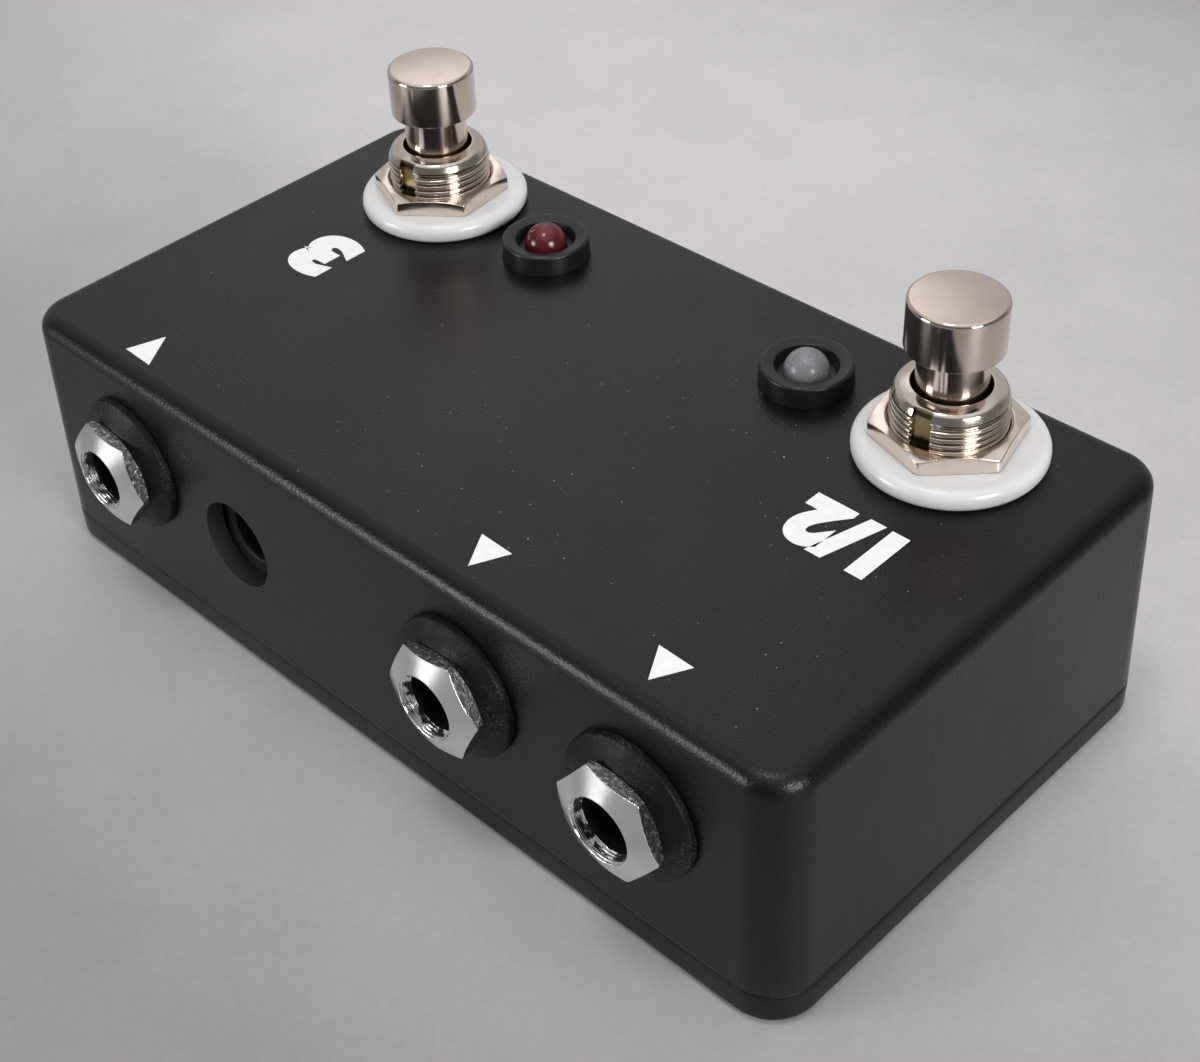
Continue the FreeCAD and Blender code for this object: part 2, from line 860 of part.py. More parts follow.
def jack_body(x):
    front = -jack_front
    back = -jack_back
    half = jack_width / 2
    case = block(-half, half, -board_below, jack_above, back, front)
    case = round_edges(case, jack_edge_round, upright)
    bush_end = jack_rim - nose_wall - free_gap
    bush = cylinder(thread_radius, front, bush_end)
    case = joined([case, bush])
    case = case.cut(cylinder(plug_bore_radius, back + jack_back_wall, bush_end))
    slot = contact_width / 2 + free_gap
    tip_slot = block(-slot, slot, 0, jack_above, back, -tip_contact_start + free_gap)
    sleeve_slot = block(-slot, slot, -board_below, 0,
                        -sleeve_contact_end - contact_thickness - free_gap,
                        -sleeve_contact_start + free_gap)
    case = case.cut([tip_slot, sleeve_slot])
    for side in (-1, 1):
        x0, x1 = sorted((side * (half - side_recess), side * (half + cut_past)))
        case = case.cut(block(x0, x1, -board_below + recess_foot, jack_above - recess_top,
                              back + recess_back, front - recess_front))
    case.translate(V(x, 0, 0))
    return on_side(case)


def jack_contacts(x):
    half = contact_width / 2
    pin = pin_width / 2
    touch = plug_bore_radius + contact_gap
    thick = contact_thickness
    neck = -board_below + pin_shoulder
    pin_end = -board_below - board_thickness - pin_below_board
    far = -jack_back - free_gap
    tip = joined([
        block(-half, half, touch, touch + thick, far - thick, -tip_contact_start),
        block(-half, half, neck, touch + thick, far - thick, far),
        block(-pin, pin, pin_end, neck, far - thick, far)])
    near = -sleeve_contact_end
    sleeve = joined([
        block(-half, half, -touch - thick, -touch, near - thick, -sleeve_contact_start),
        block(-half, half, neck, -touch, near - thick, near),
        block(-pin, pin, pin_end, neck, near - thick, near)])
    both = Part.makeCompound([tip, sleeve])
    both.translate(V(x, 0, 0))
    return on_side(both)


def inlet_socket():
    front = -jack_front
    back = -inlet_back
    foot = -board_below + inlet_drop
    half = inlet_width / 2
    case = block(-half, half, foot, inlet_above, back, front)
    case = round_edges(case, inlet_edge_round, upright)
    case = case.cut(cylinder(barrel_radius, front - barrel_depth, front))
    case = case.cut(cone(barrel_radius, barrel_radius + inlet_mouth, front - inlet_mouth, front))
    case = case.cut(cylinder(centre_pin_radius + fit_gap, back, front))
    slot = leaf_width / 2 + free_gap
    slot_back = front - leaf_end - leaf_thickness - leaf_slot_gap
    case = case.cut(block(-slot, slot, foot, 0, slot_back, front - leaf_start + leaf_slot_gap))
    case.translate(V(inlet_x, -inlet_drop, 0))
    return on_side(case)


def inlet_pin():
    near = -inlet_back - free_gap
    far = near - tail_thickness
    tip = -jack_front - barrel_depth + centre_pin_length
    rod = cylinder(centre_pin_radius, far, tip)
    rod = round_edges(rod, centre_pin_round, level(tip))
    neck = -board_below + inlet_drop + pin_shoulder
    pin_end = -board_below + inlet_drop - board_thickness - pin_below_board
    half = tail_width / 2
    pin = inlet_pin_width / 2
    piece = joined([
        rod, block(-half, half, neck, tail_rise, far, near), block(-pin, pin, pin_end, neck, far, near)])
    piece.translate(V(inlet_x, -inlet_drop, 0))
    return on_side(piece)


def inlet_contact():
    near = -jack_front - leaf_end
    far = near - leaf_thickness
    neck = -board_below + inlet_drop + pin_shoulder
    pin_end = -board_below + inlet_drop - board_thickness - pin_below_board
    touch = barrel_radius + contact_gap
    half = leaf_width / 2
    pin = inlet_pin_width / 2
    piece = joined([
        block(-half, half, -touch - leaf_thickness, -touch, near, -jack_front - leaf_start),
        block(-half, half, neck, -touch, far, near),
        block(-pin, pin, pin_end, neck, far, near)])
    piece.translate(V(inlet_x, -inlet_drop, 0))
    return on_side(piece)


def board_holes():
    """Middles of the pin holes: place along the box, depth, half width, half thickness."""
    holes = []
    for x in jack_x:
        half = pin_width / 2 + pin_hole_gap
        thin = contact_thickness / 2 + pin_hole_gap
        holes.append((x, jack_back + free_gap + contact_thickness / 2, half, thin))
        holes.append((x, sleeve_contact_end + contact_thickness / 2, half, thin))
    half = inlet_pin_width / 2 + pin_hole_gap
    tail = inlet_back + free_gap + tail_thickness / 2
    holes.append((inlet_x, tail, half, tail_thickness / 2 + pin_hole_gap))
    leaf = jack_front + leaf_end + leaf_thickness / 2
    holes.append((inlet_x, leaf, half, leaf_thickness / 2 + pin_hole_gap))
    for x in resistor_x:
        for side in (-1, 1):
            depth = resistor_depth + side * (resistor_length / 2 + resistor_lead_reach)
            hole = resistor_lead + pin_hole_gap
            holes.append((x, depth, hole, hole))
    return holes


def circuit_board():
    low = -board_below - board_thickness
    high = -board_below
    half = board_length / 2
    board = block(-half, half, low, high, -board_back, -board_front)
    board = round_edges(board, board_round, across)
    for x, depth, wide, thin in board_holes():
        board = board.cut(block(x - wide, x + wide, low, high, -depth - thin, -depth + thin))
    return on_side(board)


def bent_lead(x, height, near, far, foot):
    """A round lead that runs out along the board and turns down through it."""
    bend = resistor_lead_bend if far > near else -resistor_lead_bend
    turn = bend * (1 - math.sqrt(0.5))
    corner = V(x, height, far - bend)
    middle = V(x, height - abs(turn), far - turn)
    down = V(x, height - abs(bend), far)
    path = Part.Wire([
        Part.makeLine(V(x, height, near), corner),
        Part.Arc(corner, middle, down).toShape(),
        Part.makeLine(down, V(x, foot, far))])
    section = Part.Wire([Part.Circle(V(x, height, near), V(0, 0, 1), resistor_lead).toShape()])
    return path.makePipeShell([section], True, False)


def resistors():
    pieces = []
    height = -board_below + resistor_radius + resistor_lift
    pin_end = -board_below - board_thickness - resistor_pin_below_board
    for x in resistor_x:
        start = -resistor_depth - resistor_length / 2
        body = Part.makeCylinder(resistor_radius, resistor_length, V(x, height, start))
        body = round_edges(body, resistor_round, circular)
        legs = []
        for side in (-1, 1):
            near = -resistor_depth + side * (resistor_length / 2 - resistor_lead)
            far = -resistor_depth + side * (resistor_length / 2 + resistor_lead_reach)
            legs.append(bent_lead(x, height, near, far, pin_end))
        pieces.append(joined([body] + legs))
    return on_side(Part.makeCompound(pieces))


def wire(x, y, top):
    """A wire from a lug or leg straight down, along under the board and up to it."""
    end = side_point(x, -board_below - board_thickness, wire_board_depth)
    bend = wire_bend
    low = wire_height
    turn = bend * (1 - math.sqrt(0.5))
    points = [V(x, y, top), V(x, y, low + bend), V(x, y - bend, low),
              V(x, end.y + bend, low), V(x, end.y, low + bend), V(x, end.y, end.z - wire_end_gap)]
    first_middle = V(x, y - turn, low + turn)
    second_middle = V(x, end.y + turn, low + turn)
    edges = [
        Part.makeLine(points[0], points[1]),
        Part.Arc(points[1], first_middle, points[2]).toShape(),
        Part.makeLine(points[2], points[3]),
        Part.Arc(points[3], second_middle, points[4]).toShape(),
        Part.makeLine(points[4], points[5])]
    section = Part.Wire([Part.Circle(points[0], V(0, 0, -1), wire_radius).toShape()])
    return Part.Wire(edges).makePipeShell([section], True, False)


def switch_wires():
    wires = []
    for x in switch_x:
        for column in (-1, 0, 1):
            wires.append(wire(x + column * lug_pitch_x, switch_y - lug_pitch_y,
                              housing_bottom - lug_length))
    return Part.makeCompound(wires)


def lamp_wires():
    wires = []
    for x in lamp_x:
        for side in (-1, 1):
            wires.append(wire(x + side * lead_pitch / 2, lamp_y, lead_end_height))
    return Part.makeCompound(wires)


parts = {
    "enclosure_body": enclosure_body(),
    "base_plate": base_plate(),
    "base_screws": base_screws(),
    "circuit_board": circuit_board(),
    "resistors": resistors(),
    "switch_wires": switch_wires(),
    "lamp_wires": lamp_wires(),
    "inlet_socket": inlet_socket(),
    "inlet_pin": inlet_pin(),
    "inlet_contact": inlet_contact()}

for side, name in enumerate(("left", "right")):
    for piece, shape in switch(side).items():
        shape.translate(V(switch_x[side], switch_y, 0))
        parts[name + "_" + piece] = shape
    for piece, shape in lamp().items():
        shape.translate(V(lamp_x[side], lamp_y, 0))
        parts[name + "_" + piece] = shape

for place, name in enumerate(("left", "middle", "right")):
    parts[name + "_jack_body"] = jack_body(jack_x[place])
    parts[name + "_jack_contacts"] = jack_contacts(jack_x[place])
    parts[name + "_jack_washer"] = jack_washer(jack_x[place])
    parts[name + "_jack_nut"] = jack_nut(jack_x[place], jack_nut_turn[place])

for name, shape in parts.items():
    shape.exportStep("parts/" + name + ".step")
    print(name, len(shape.Solids), "solids", round(shape.Volume, 1), "cubic mm", shape.isValid())
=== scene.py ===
import bmesh
import bpy
import json
import math
from mathutils import Matrix, Vector


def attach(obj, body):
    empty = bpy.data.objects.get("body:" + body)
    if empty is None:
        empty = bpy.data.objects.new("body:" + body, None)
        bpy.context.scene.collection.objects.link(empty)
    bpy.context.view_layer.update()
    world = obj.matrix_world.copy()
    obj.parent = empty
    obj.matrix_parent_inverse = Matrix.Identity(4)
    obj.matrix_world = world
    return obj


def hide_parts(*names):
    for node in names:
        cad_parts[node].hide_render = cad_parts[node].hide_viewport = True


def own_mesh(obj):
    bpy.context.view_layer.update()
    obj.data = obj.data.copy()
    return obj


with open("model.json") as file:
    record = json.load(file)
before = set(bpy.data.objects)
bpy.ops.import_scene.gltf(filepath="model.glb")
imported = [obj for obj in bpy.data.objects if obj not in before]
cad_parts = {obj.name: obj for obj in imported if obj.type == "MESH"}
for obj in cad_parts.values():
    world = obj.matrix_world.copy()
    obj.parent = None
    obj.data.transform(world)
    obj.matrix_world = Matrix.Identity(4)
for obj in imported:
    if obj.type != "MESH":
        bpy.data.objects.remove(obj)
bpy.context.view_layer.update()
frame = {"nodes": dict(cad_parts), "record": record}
nodes = frame["nodes"]
scene = bpy.context.scene
mm = 0.001
print("frame loaded:", len(nodes), "nodes")


# Camera at the angle of the photograph, in degrees and millimetres

view = {
    "azimuth": 46.352,
    "elevation": 37.809,
    "roll": -3.287,
    "target": (-4.182, 6.575, 15.0),
    "distance": 229.485,
    "lens": 60.895,
    "sensor": 36,
    "nearest": 0.005,
    "shift": (0.01786, -0.0622),
}


def direction(azimuth, elevation):
    a, e = math.radians(azimuth), math.radians(elevation)
    return Vector((math.sin(a) * math.cos(e), -math.cos(a) * math.cos(e), math.sin(e)))


def facing(back, roll):
    right = Vector((0, 0, 1)).cross(back).normalized()
    up = back.cross(right)
    r = math.radians(roll)
    rows = (right * math.cos(r) + up * math.sin(r), up * math.cos(r) - right * math.sin(r), back)
    return Matrix(rows).transposed().to_4x4()


def addObject(name, data):
    made = bpy.data.objects.new(name, data)
    scene.collection.objects.link(made)
    return made


def aim(made, middle, back, distance, roll=0):
    made.matrix_world = facing(back, roll)
    made.matrix_world.translation = (Vector(middle) + back * distance) * mm


cameraData = bpy.data.cameras.new("camera")
cameraData.sensor_width = view["sensor"]
cameraData.lens = view["lens"]
cameraData.shift_x, cameraData.shift_y = view["shift"]
cameraData.clip_start = view["nearest"]
scene.camera = addObject("camera", cameraData)
aim(scene.camera, view["target"], direction(view["azimuth"], view["elevation"]), view["distance"],
    view["roll"])
scene.view_settings.view_transform = "Standard"
print("camera placed")


# Shader helpers; a texture is its scale, detail and roughness

def connect(tree, value, socket):
    if isinstance(value, bpy.types.NodeSocket):
        tree.links.new(value, socket)
    else:
        socket.default_value = value


def setInputs(tree, node, inputs):
    for key, value in inputs.items():
        connect(tree, value, node.inputs[key])


def addNode(tree, kind, inputs, **settings):
    node = tree.nodes.new("ShaderNode" + kind)
    for key, value in settings.items():
        setattr(node, key, value)
    setInputs(tree, node, inputs)
    return node


def coordinate(tree, kind):
    return tree.nodes.new("ShaderNodeTexCoord").outputs[kind]


def place(tree, scale=(1, 1, 1)):
    return addNode(tree, "Mapping", {
        "Vector": coordinate(tree, "Object"), "Scale": scale}).outputs["Vector"]


def newMaterial(name):
    material = bpy.data.materials.new(name)
    material.use_nodes = True
    tree = material.node_tree
    tree.nodes.clear()
    output = tree.nodes.new("ShaderNodeOutputMaterial")
    shader = tree.nodes.new("ShaderNodeBsdfPrincipled")
    tree.links.new(shader.outputs["BSDF"], output.inputs["Surface"])
    return material, tree, shader, place(tree)


def noise(tree, where, texture):
    scale, detail, roughness = texture
    return addNode(tree, "TexNoise", {
        "Vector": where, "Scale": scale, "Detail": detail, "Roughness": roughness}).outputs["Fac"]


def spread(tree, value, low, high, fromLow=0.35, fromHigh=0.65, **settings):
    return addNode(tree, "MapRange", {
        "Value": value, "From Min": fromLow, "From Max": fromHigh,
        "To Min": low, "To Max": high}, **settings).outputs["Result"]


def smoothSpread(tree, value, fromLow, fromHigh):
    return spread(tree, value, 0, 1, fromLow, fromHigh, interpolation_type="SMOOTHSTEP")


def blendColour(tree, factor, first, second):
    node = addNode(tree, "Mix", {"Factor": factor, 6: first, 7: second}, data_type="RGBA")
    return node.outputs[2]


def math2(tree, operation, first, second=0):
    return addNode(tree, "Math", {0: first, 1: second}, operation=operation).outputs[0]


def plus(tree, first, second):
    return math2(tree, "ADD", first, second)


def times(tree, first, second):
    return math2(tree, "MULTIPLY", first, second)


def vectorMath(tree, operation, first, second=(0, 0, 0)):
    node = addNode(tree, "VectorMath", {0: first, 1: second}, operation=operation)
    return node.outputs["Value" if operation in ("LENGTH", "DOT_PRODUCT") else "Vector"]


def along(tree, vector, axis):
    return addNode(tree, "SeparateXYZ", {"Vector": vector}).outputs[axis]


def vectorOf(tree, **axes):
    return addNode(tree, "CombineXYZ", axes).outputs["Vector"]


def bandAt(tree, height, level, band):
    away = math2(tree, "ABSOLUTE", math2(tree, "SUBTRACT", height, level))
    return spread(tree, away, band["most"], 0, band["near"], band["far"])


def acrossFrom(tree, axis, limit):
    tilt = math2(tree, "ABSOLUTE", along(tree, coordinate(tree, "Normal"), axis))
    return math2(tree, "LESS_THAN", tilt, limit)


def faceValue(tree, label):
    node = tree.nodes.new("ShaderNodeAttribute")
    node.attribute_name = label
    return node.outputs["Fac"]


def bump(tree, height, strength, depth, below=None):
    inputs = {"Height": height, "Strength": strength, "Distance": depth}
    if below:
        inputs["Normal"] = below
    return addNode(tree, "Bump", inputs).outputs["Normal"]


def rgb(red, green, blue):
    def linear(value):
        value = value / 255
        return value / 12.92 if value <= 0.04045 else ((value + 0.055) / 1.055) ** 2.4
    return (linear(red), linear(green), linear(blue), 1)


# Materials

paint = {
    "base": rgb(7, 6, 7),
    "dusty": rgb(14, 13, 13),
    "cloud": (55, 3, 0.55),
    "dustMost": 0.6,
    "speck": {"colour": rgb(120, 118, 116), "cells": 900, "rare": 0.95, "reach": 0.14, "share": 0.35},
    "smears": (90, 4, 0.6),
    "roughness": (0.29, 0.35),
    "index": 1.4,
    "seam": {"level": 0.0036, "near": 0.0004, "far": 0.0008, "most": 0.12},
    # painted light: the inlet hole's wall takes a lighter colour than the paint, standing in for light
    # falling into the hole
    "inlet": {"middle": (-0.0196, 0, 0.0166), "reach": 0.0054, "tilt": 0.4, "wall": rgb(46, 45, 45)},
    "peel": {"texture": (900, 2, 0.5), "strength": 0.15, "depth": 0.0001},
    "grain": {"texture": (3000, 2, 0.6), "strength": 0.8, "depth": 0.00006},
}


def powderCoat():
    material, tree, shader, where = newMaterial("powderCoat")
    speck, seam, inlet = paint["speck"], paint["seam"], paint["inlet"]
    cloud = spread(tree, noise(tree, where, paint["cloud"]), 0, paint["dustMost"])
    colour = blendColour(tree, cloud, paint["base"], paint["dusty"])
    cells = addNode(tree, "TexVoronoi", {"Vector": where, "Scale": speck["cells"]})
    chosen = math2(tree, "GREATER_THAN", cells.outputs["Color"], speck["rare"])
    close = math2(tree, "LESS_THAN", cells.outputs["Distance"], speck["reach"])
    specks = times(tree, times(tree, chosen, close), speck["share"])
    colour = blendColour(tree, specks, colour, speck["colour"])
    # Painted light on the inlet hole's wall: faces inside the hole whose normals lie across its axis take
    # the lighter wall colour
    offset = vectorMath(tree, "SUBTRACT", where, inlet["middle"])
    away = vectorMath(tree, "LENGTH", vectorMath(tree, "MULTIPLY", offset, (1, 0, 1)))
    inside = math2(tree, "LESS_THAN", away, inlet["reach"])
    paintedLightOnInletWall = times(tree, inside, acrossFrom(tree, "Y", inlet["tilt"]))
    rough = spread(tree, noise(tree, where, paint["smears"]), *paint["roughness"])
    overlay = bandAt(tree, along(tree, where, "Z"), seam["level"], seam)
    normal = None
    for layer in (paint["peel"], paint["grain"]):
        height = noise(tree, where, layer["texture"])
        normal = bump(tree, height, layer["strength"], layer["depth"], normal)
    setInputs(tree, shader, {
        "Base Color": blendColour(tree, paintedLightOnInletWall, colour, inlet["wall"]),
        "Roughness": plus(tree, rough, overlay), "IOR": paint["index"], "Normal": normal})
    return material


metal = {
    "cloud": (320, 4, 0.6),
    "stained": (0.45, 0.75),
    "smears": (700, 5, 0.65),
    "waves": (260, 2, 0.5),
    "waveDepth": 0.0004,
    "pits": (5200, 2, 0.5),
    "pitDepth": 0.00002,
}
chrome = {
    "tilt": 0.3,
    "front": -0.0339,
    "grit": (2600, 3, 0.65),
    "gritty": (0.5, 0.7),
    # the bore wall is painted in random dark and near-white patches: painted shade and painted glints in
    # place of its chrome colour
    "paintedShadeAndGlintPatches": (1000, 2, 0.5),
    "paintedShadeAndGlintRange": (0.47, 0.55),
    "bore": (rgb(70, 69, 69), rgb(250, 250, 250)),
    "rougher": 0.12,
    "wave": 0.03,
    "pit": 0.02,
    "flankPit": 0.7,
    "pitDepth": 0.00008,
}
turned = {
    "tilt": 0.6,
    "rougher": 0.03,
    "neckTop": 0.0436,
    "neckRougher": 0.02,
    "top": 0.9,
    "topRougher": 0.14,
    "stretch": 0.9,
    "wave": 0.03,
    "lines": (1, 3, 0.6),
    "lineScale": (120, 120, 5200),
    "line": 0.05,
}
bush = {
    # two dark bands on the bare faces, painted shade just above the nut and under the collar's top
    "paintedShadeLevels": (0.0384, 0.0353),
    "paintedShadeBand": {"near": 0.0002, "far": 0.0005, "most": 0.85},
    "paintedShadeColour": rgb(26, 24, 20),
    "rougher": 0.2,
    "waves": (900, 3, 0.55),
    "wave": 0.12,
    "waveDepth": 0.0002,
    "pit": 0.08,
}


def newMetal(name, tint, stained, roughness):
    material, tree, shader, where = newMaterial(name)
    cloud = spread(tree, noise(tree, where, metal["cloud"]), 0, 1, *metal["stained"])
    smears = spread(tree, noise(tree, where, metal["smears"]), *roughness)
    shader.inputs["Metallic"].default_value = 1
    return material, tree, shader, where, blendColour(tree, cloud, tint, stained), smears


def wavy(tree, where, strength):
    return bump(tree, noise(tree, where, metal["waves"]), strength, metal["waveDepth"])


def platedMetal(name, tint, stained, roughness, ripple):
    material, tree, shader, where, plated, smears = newMetal(name, tint, stained, roughness)
    pits = noise(tree, where, metal["pits"])
    setInputs(tree, shader, {
        "Base Color": plated, "Roughness": smears,
        "Normal": bump(tree, pits, ripple, metal["pitDepth"], wavy(tree, where, ripple))})
    return material


def nutChrome(name, tint, stained, flank, roughness):
    material, tree, shader, where, plated, smears = newMetal(name, tint, stained, roughness)
    behind = math2(tree, "GREATER_THAN", along(tree, where, "Y"), chrome["front"])
    outer = times(tree, acrossFrom(tree, "Y", chrome["tilt"]), behind)
    grit = noise(tree, where, chrome["grit"])
    dirty = blendColour(tree, spread(tree, grit, 0, 1, *chrome["gritty"]), flank, stained)
    shown = blendColour(tree, outer, plated, dirty)
    # Painted shade and painted glints: on the bore wall the chrome colour gives way to random dark and
    # near-white patches
    paintedShadeAndGlintPatches = spread(tree, noise(tree, where, chrome["paintedShadeAndGlintPatches"]), 0, 1, *chrome["paintedShadeAndGlintRange"])
    overlay = blendColour(tree, paintedShadeAndGlintPatches, *chrome["bore"])
    pit = plus(tree, times(tree, outer, chrome["flankPit"]), chrome["pit"])
    setInputs(tree, shader, {
        "Base Color": blendColour(tree, faceValue(tree, "bore"), shown, overlay),
        "Roughness": plus(tree, smears, times(tree, outer, chrome["rougher"])),
        "Normal": bump(tree, grit, pit, chrome["pitDepth"], wavy(tree, where, chrome["wave"]))})
    return material


def turnedMetal(name, tint, stained, roughness):
    material, tree, shader, where, plated, smears = newMetal(name, tint, stained, roughness)
    side = acrossFrom(tree, "Z", turned["tilt"])
    neck = math2(tree, "LESS_THAN", along(tree, where, "Z"), turned["neckTop"])
    rougher = plus(tree, times(tree, neck, turned["neckRougher"]), turned["rougher"])
    upward = along(tree, coordinate(tree, "Normal"), "Z")
    top = times(tree, math2(tree, "GREATER_THAN", upward, turned["top"]), turned["topRougher"])
    rougher = plus(tree, times(tree, side, rougher), top)
    lines = noise(tree, place(tree, turned["lineScale"]), turned["lines"])
    waves = wavy(tree, where, turned["wave"])
    setInputs(tree, shader, {
        "Base Color": plated, "Roughness": plus(tree, smears, rougher),
        "Anisotropic": times(tree, side, turned["stretch"]),
        "Tangent": vectorOf(tree, X=math2(tree, "SUBTRACT", 1, side), Z=side),
        "Normal": bump(tree, lines, turned["line"], metal["pitDepth"], waves)})
    return material


def bushMetal(name, tint, stained, brassAndShade, roughness):
    material, tree, shader, where, plated, smears = newMetal(name, tint, stained, roughness)
    # The bare faces take a brass colour: real brass in the keyway slot, and painted shade on the bore
    # wall inside the mouth; both take the painted shade bands
    brassAndShadeFaces = faceValue(tree, "brassAndShadeFaces")
    height = along(tree, where, "Z")
    for level in bush["paintedShadeLevels"]:
        brassAndShade = blendColour(tree, bandAt(tree, height, level, bush["paintedShadeBand"]), brassAndShade, bush["paintedShadeColour"])
    waves = bump(tree, noise(tree, where, bush["waves"]), bush["wave"], bush["waveDepth"])
    pits = noise(tree, where, metal["pits"])
    setInputs(tree, shader, {
        "Base Color": blendColour(tree, brassAndShadeFaces, plated, brassAndShade),
        "Roughness": plus(tree, smears, times(tree, brassAndShadeFaces, bush["rougher"])),
        "Normal": bump(tree, pits, bush["pit"], metal["pitDepth"], waves)})
    return material


moulded = {
    "cloud": (180, 4, 0.6),
    "smears": (420, 3, 0.6),
    "grain": (3600, 2, 0.5),
    "strength": 0.12,
    "depth": 0.00005,
}
nylon = {
    "cloud": (140, 3, 0.5),
    "smears": (300, 3, 0.6),
    "grain": (520, 2, 0.5),
    "strength": 0.05,
    "depth": 0.0001,
    "inputs": {"Subsurface Weight": 0.35, "Subsurface Radius": (0.0012, 0.0011, 0.001),
               "Subsurface Scale": 1.0},
}
resin = {
    "cloud": (500, 3, 0.5),
    "smears": (900, 4, 0.6),
    "grain": (2600, 3, 0.6),
    "strength": 0.12,
    "depth": 0.00005,
    "inputs": {"IOR": 1.5},
}
whiteInk = {
    "cloud": (900, 3, 0.6),
    "most": 0.5,
    "smears": (1500, 3, 0.6),
    "grain": (4200, 2, 0.6),
    "strength": 0.25,
    "depth": 0.00005,
}
rubbed = {
    "dusty": {"texture": (240, 4, 0.6), "reach": (0.5, 0.75)},
    "grit": {"texture": (4200, 2, 0.6), "reach": (0.5, 0.62)},
    "share": 0.35,
    "colours": (rgb(12, 12, 12), rgb(120, 118, 115)),
    "smears": (500, 3, 0.6),
    "roughness": (0.4, 0.55),
    "index": 1.3,
    "grain": (2400, 3, 0.7),
    "strength": 0.8,
    "depth": 0.0001,
}


def coated(name, look, colour, overlay, roughness, strength=None, inputs=None):
    material, tree, shader, where = newMaterial(name)
    cloud = spread(tree, noise(tree, where, look["cloud"]), 0, look.get("most", 1))
    grain = noise(tree, where, look["grain"])
    setInputs(tree, shader, {
        "Base Color": blendColour(tree, cloud, colour, overlay),
        "Roughness": spread(tree, noise(tree, where, look["smears"]), *roughness),
        "Normal": bump(tree, grain, strength or look["strength"], look["depth"]),
        **look.get("inputs", {}), **(inputs or {})})
    return material


def washerCoat():
    material, tree, shader, where = newMaterial("washerCoat")
    dusty, grit = [spread(tree, noise(tree, where, rubbed[key]["texture"]), 0, 1, *rubbed[key]["reach"])
                   for key in ("dusty", "grit")]
    dust = times(tree, times(tree, dusty, grit), rubbed["share"])
    grain = noise(tree, where, rubbed["grain"])
    setInputs(tree, shader, {
        "Base Color": blendColour(tree, dust, *rubbed["colours"]),
        "Roughness": spread(tree, noise(tree, where, rubbed["smears"]), *rubbed["roughness"]),
        "IOR": rubbed["index"],
        "Normal": bump(tree, grain, rubbed["strength"], rubbed["depth"])})
    return material


dull = {"Specular IOR Level": 0.3}
finishes = {
    "box_paint": powderCoat(),
    "cap_nickel": turnedMetal("capNickel", rgb(221, 204, 194), rgb(214, 196, 184), (0.06, 0.1)),
    "bush_nickel": bushMetal("bushNickel", rgb(222, 212, 200), rgb(206, 192, 172), rgb(168, 149, 112),
                             (0.1, 0.18)),
    "nut_nickel": platedMetal("nutNickel", rgb(236, 221, 209), rgb(224, 208, 192), (0.12, 0.22), 0.05),
    "nut_chrome": nutChrome("nutChrome", rgb(236, 237, 238), rgb(222, 222, 224), rgb(120, 120, 122),
                            (0.1, 0.2)),
    "screw_steel": platedMetal("screwSteel", rgb(190, 190, 188), rgb(160, 160, 156), (0.25, 0.4), 0.15),
    "contact_tin": platedMetal("contactTin", rgb(214, 212, 205), rgb(190, 186, 176), (0.2, 0.35), 0.1),
    "spring_steel": platedMetal("springSteel", rgb(180, 180, 178), rgb(150, 150, 146), (0.2, 0.35), 0.1),
    "lock_steel": platedMetal("lockSteel", rgb(200, 200, 198), rgb(176, 176, 172), (0.25, 0.4), 0.15),
    "frame_steel": platedMetal("frameSteel", rgb(198, 198, 194), rgb(180, 180, 174), (0.3, 0.45), 0.15),
    "washer_white": coated("washerNylon", nylon, rgb(226, 226, 227), rgb(218, 218, 218), (0.18, 0.28)),
    "nylon_natural": coated("naturalNylon", nylon, rgb(226, 222, 210), rgb(214, 208, 194), (0.3, 0.42)),
    "bezel_black": coated("bezelPlastic", moulded, rgb(17, 17, 18), rgb(26, 25, 25), (0.3, 0.42), 0.08),
    "moulding_black": coated("jackPlastic", moulded, rgb(16, 16, 17), rgb(24, 24, 24), (0.45, 0.6),
                             0.15, dull),
    "housing_blue": coated("housingPlastic", moulded, rgb(28, 62, 140), rgb(36, 72, 150), (0.35, 0.5)),
    "wire_white": coated("whiteInsulation", moulded, rgb(226, 226, 222), rgb(212, 210, 204), (0.3, 0.45)),
    "wire_red": coated("redInsulation", moulded, rgb(170, 26, 24), rgb(150, 22, 22), (0.3, 0.45)),
    "board_green": coated("boardMask", moulded, rgb(24, 92, 52), rgb(32, 104, 60), (0.25, 0.4), 0.06),
    "resistor_body": coated("resistorLacquer", moulded, rgb(196, 164, 120), rgb(184, 150, 104),
                            (0.3, 0.45)),
    "washer_black": washerCoat(),
    "lens_clear": coated("clearLens", resin, rgb(236, 236, 242), rgb(222, 222, 228), (0.18, 0.3),
                         inputs={"Transmission Weight": 0.75}),
    "lens_red": coated("redLens", resin, rgb(168, 62, 70), rgb(136, 44, 52), (0.15, 0.25),
                       inputs={"Transmission Weight": 0.7}),
}
ink = coated("printInk", whiteInk, rgb(250, 250, 252), rgb(236, 236, 238), (0.45, 0.6))
dustCoat = coated("dustGrain", moulded, rgb(176, 174, 170), rgb(120, 118, 114), (0.7, 0.9), 0.2, dull)
print("materials made:", len(finishes) + 2)

# Mesh helpers; sizes are in millimetres until a mesh is made

slotOf = {row["node"]: row["material_slot"] for row in frame["record"]["subparts"]}
weld = 2e-7
coarseWeld = 1e-6
sameFace = 0.05
longestRound = 0.49
pieces = []


def paintedPiece(name, mesh, coat, slotName="", body="box", replaced=()):
    piece = addObject(name, mesh)
    mesh.materials.clear()
    mesh.materials.append(coat)
    pieces.append((piece, slotName, body, replaced))
    return piece


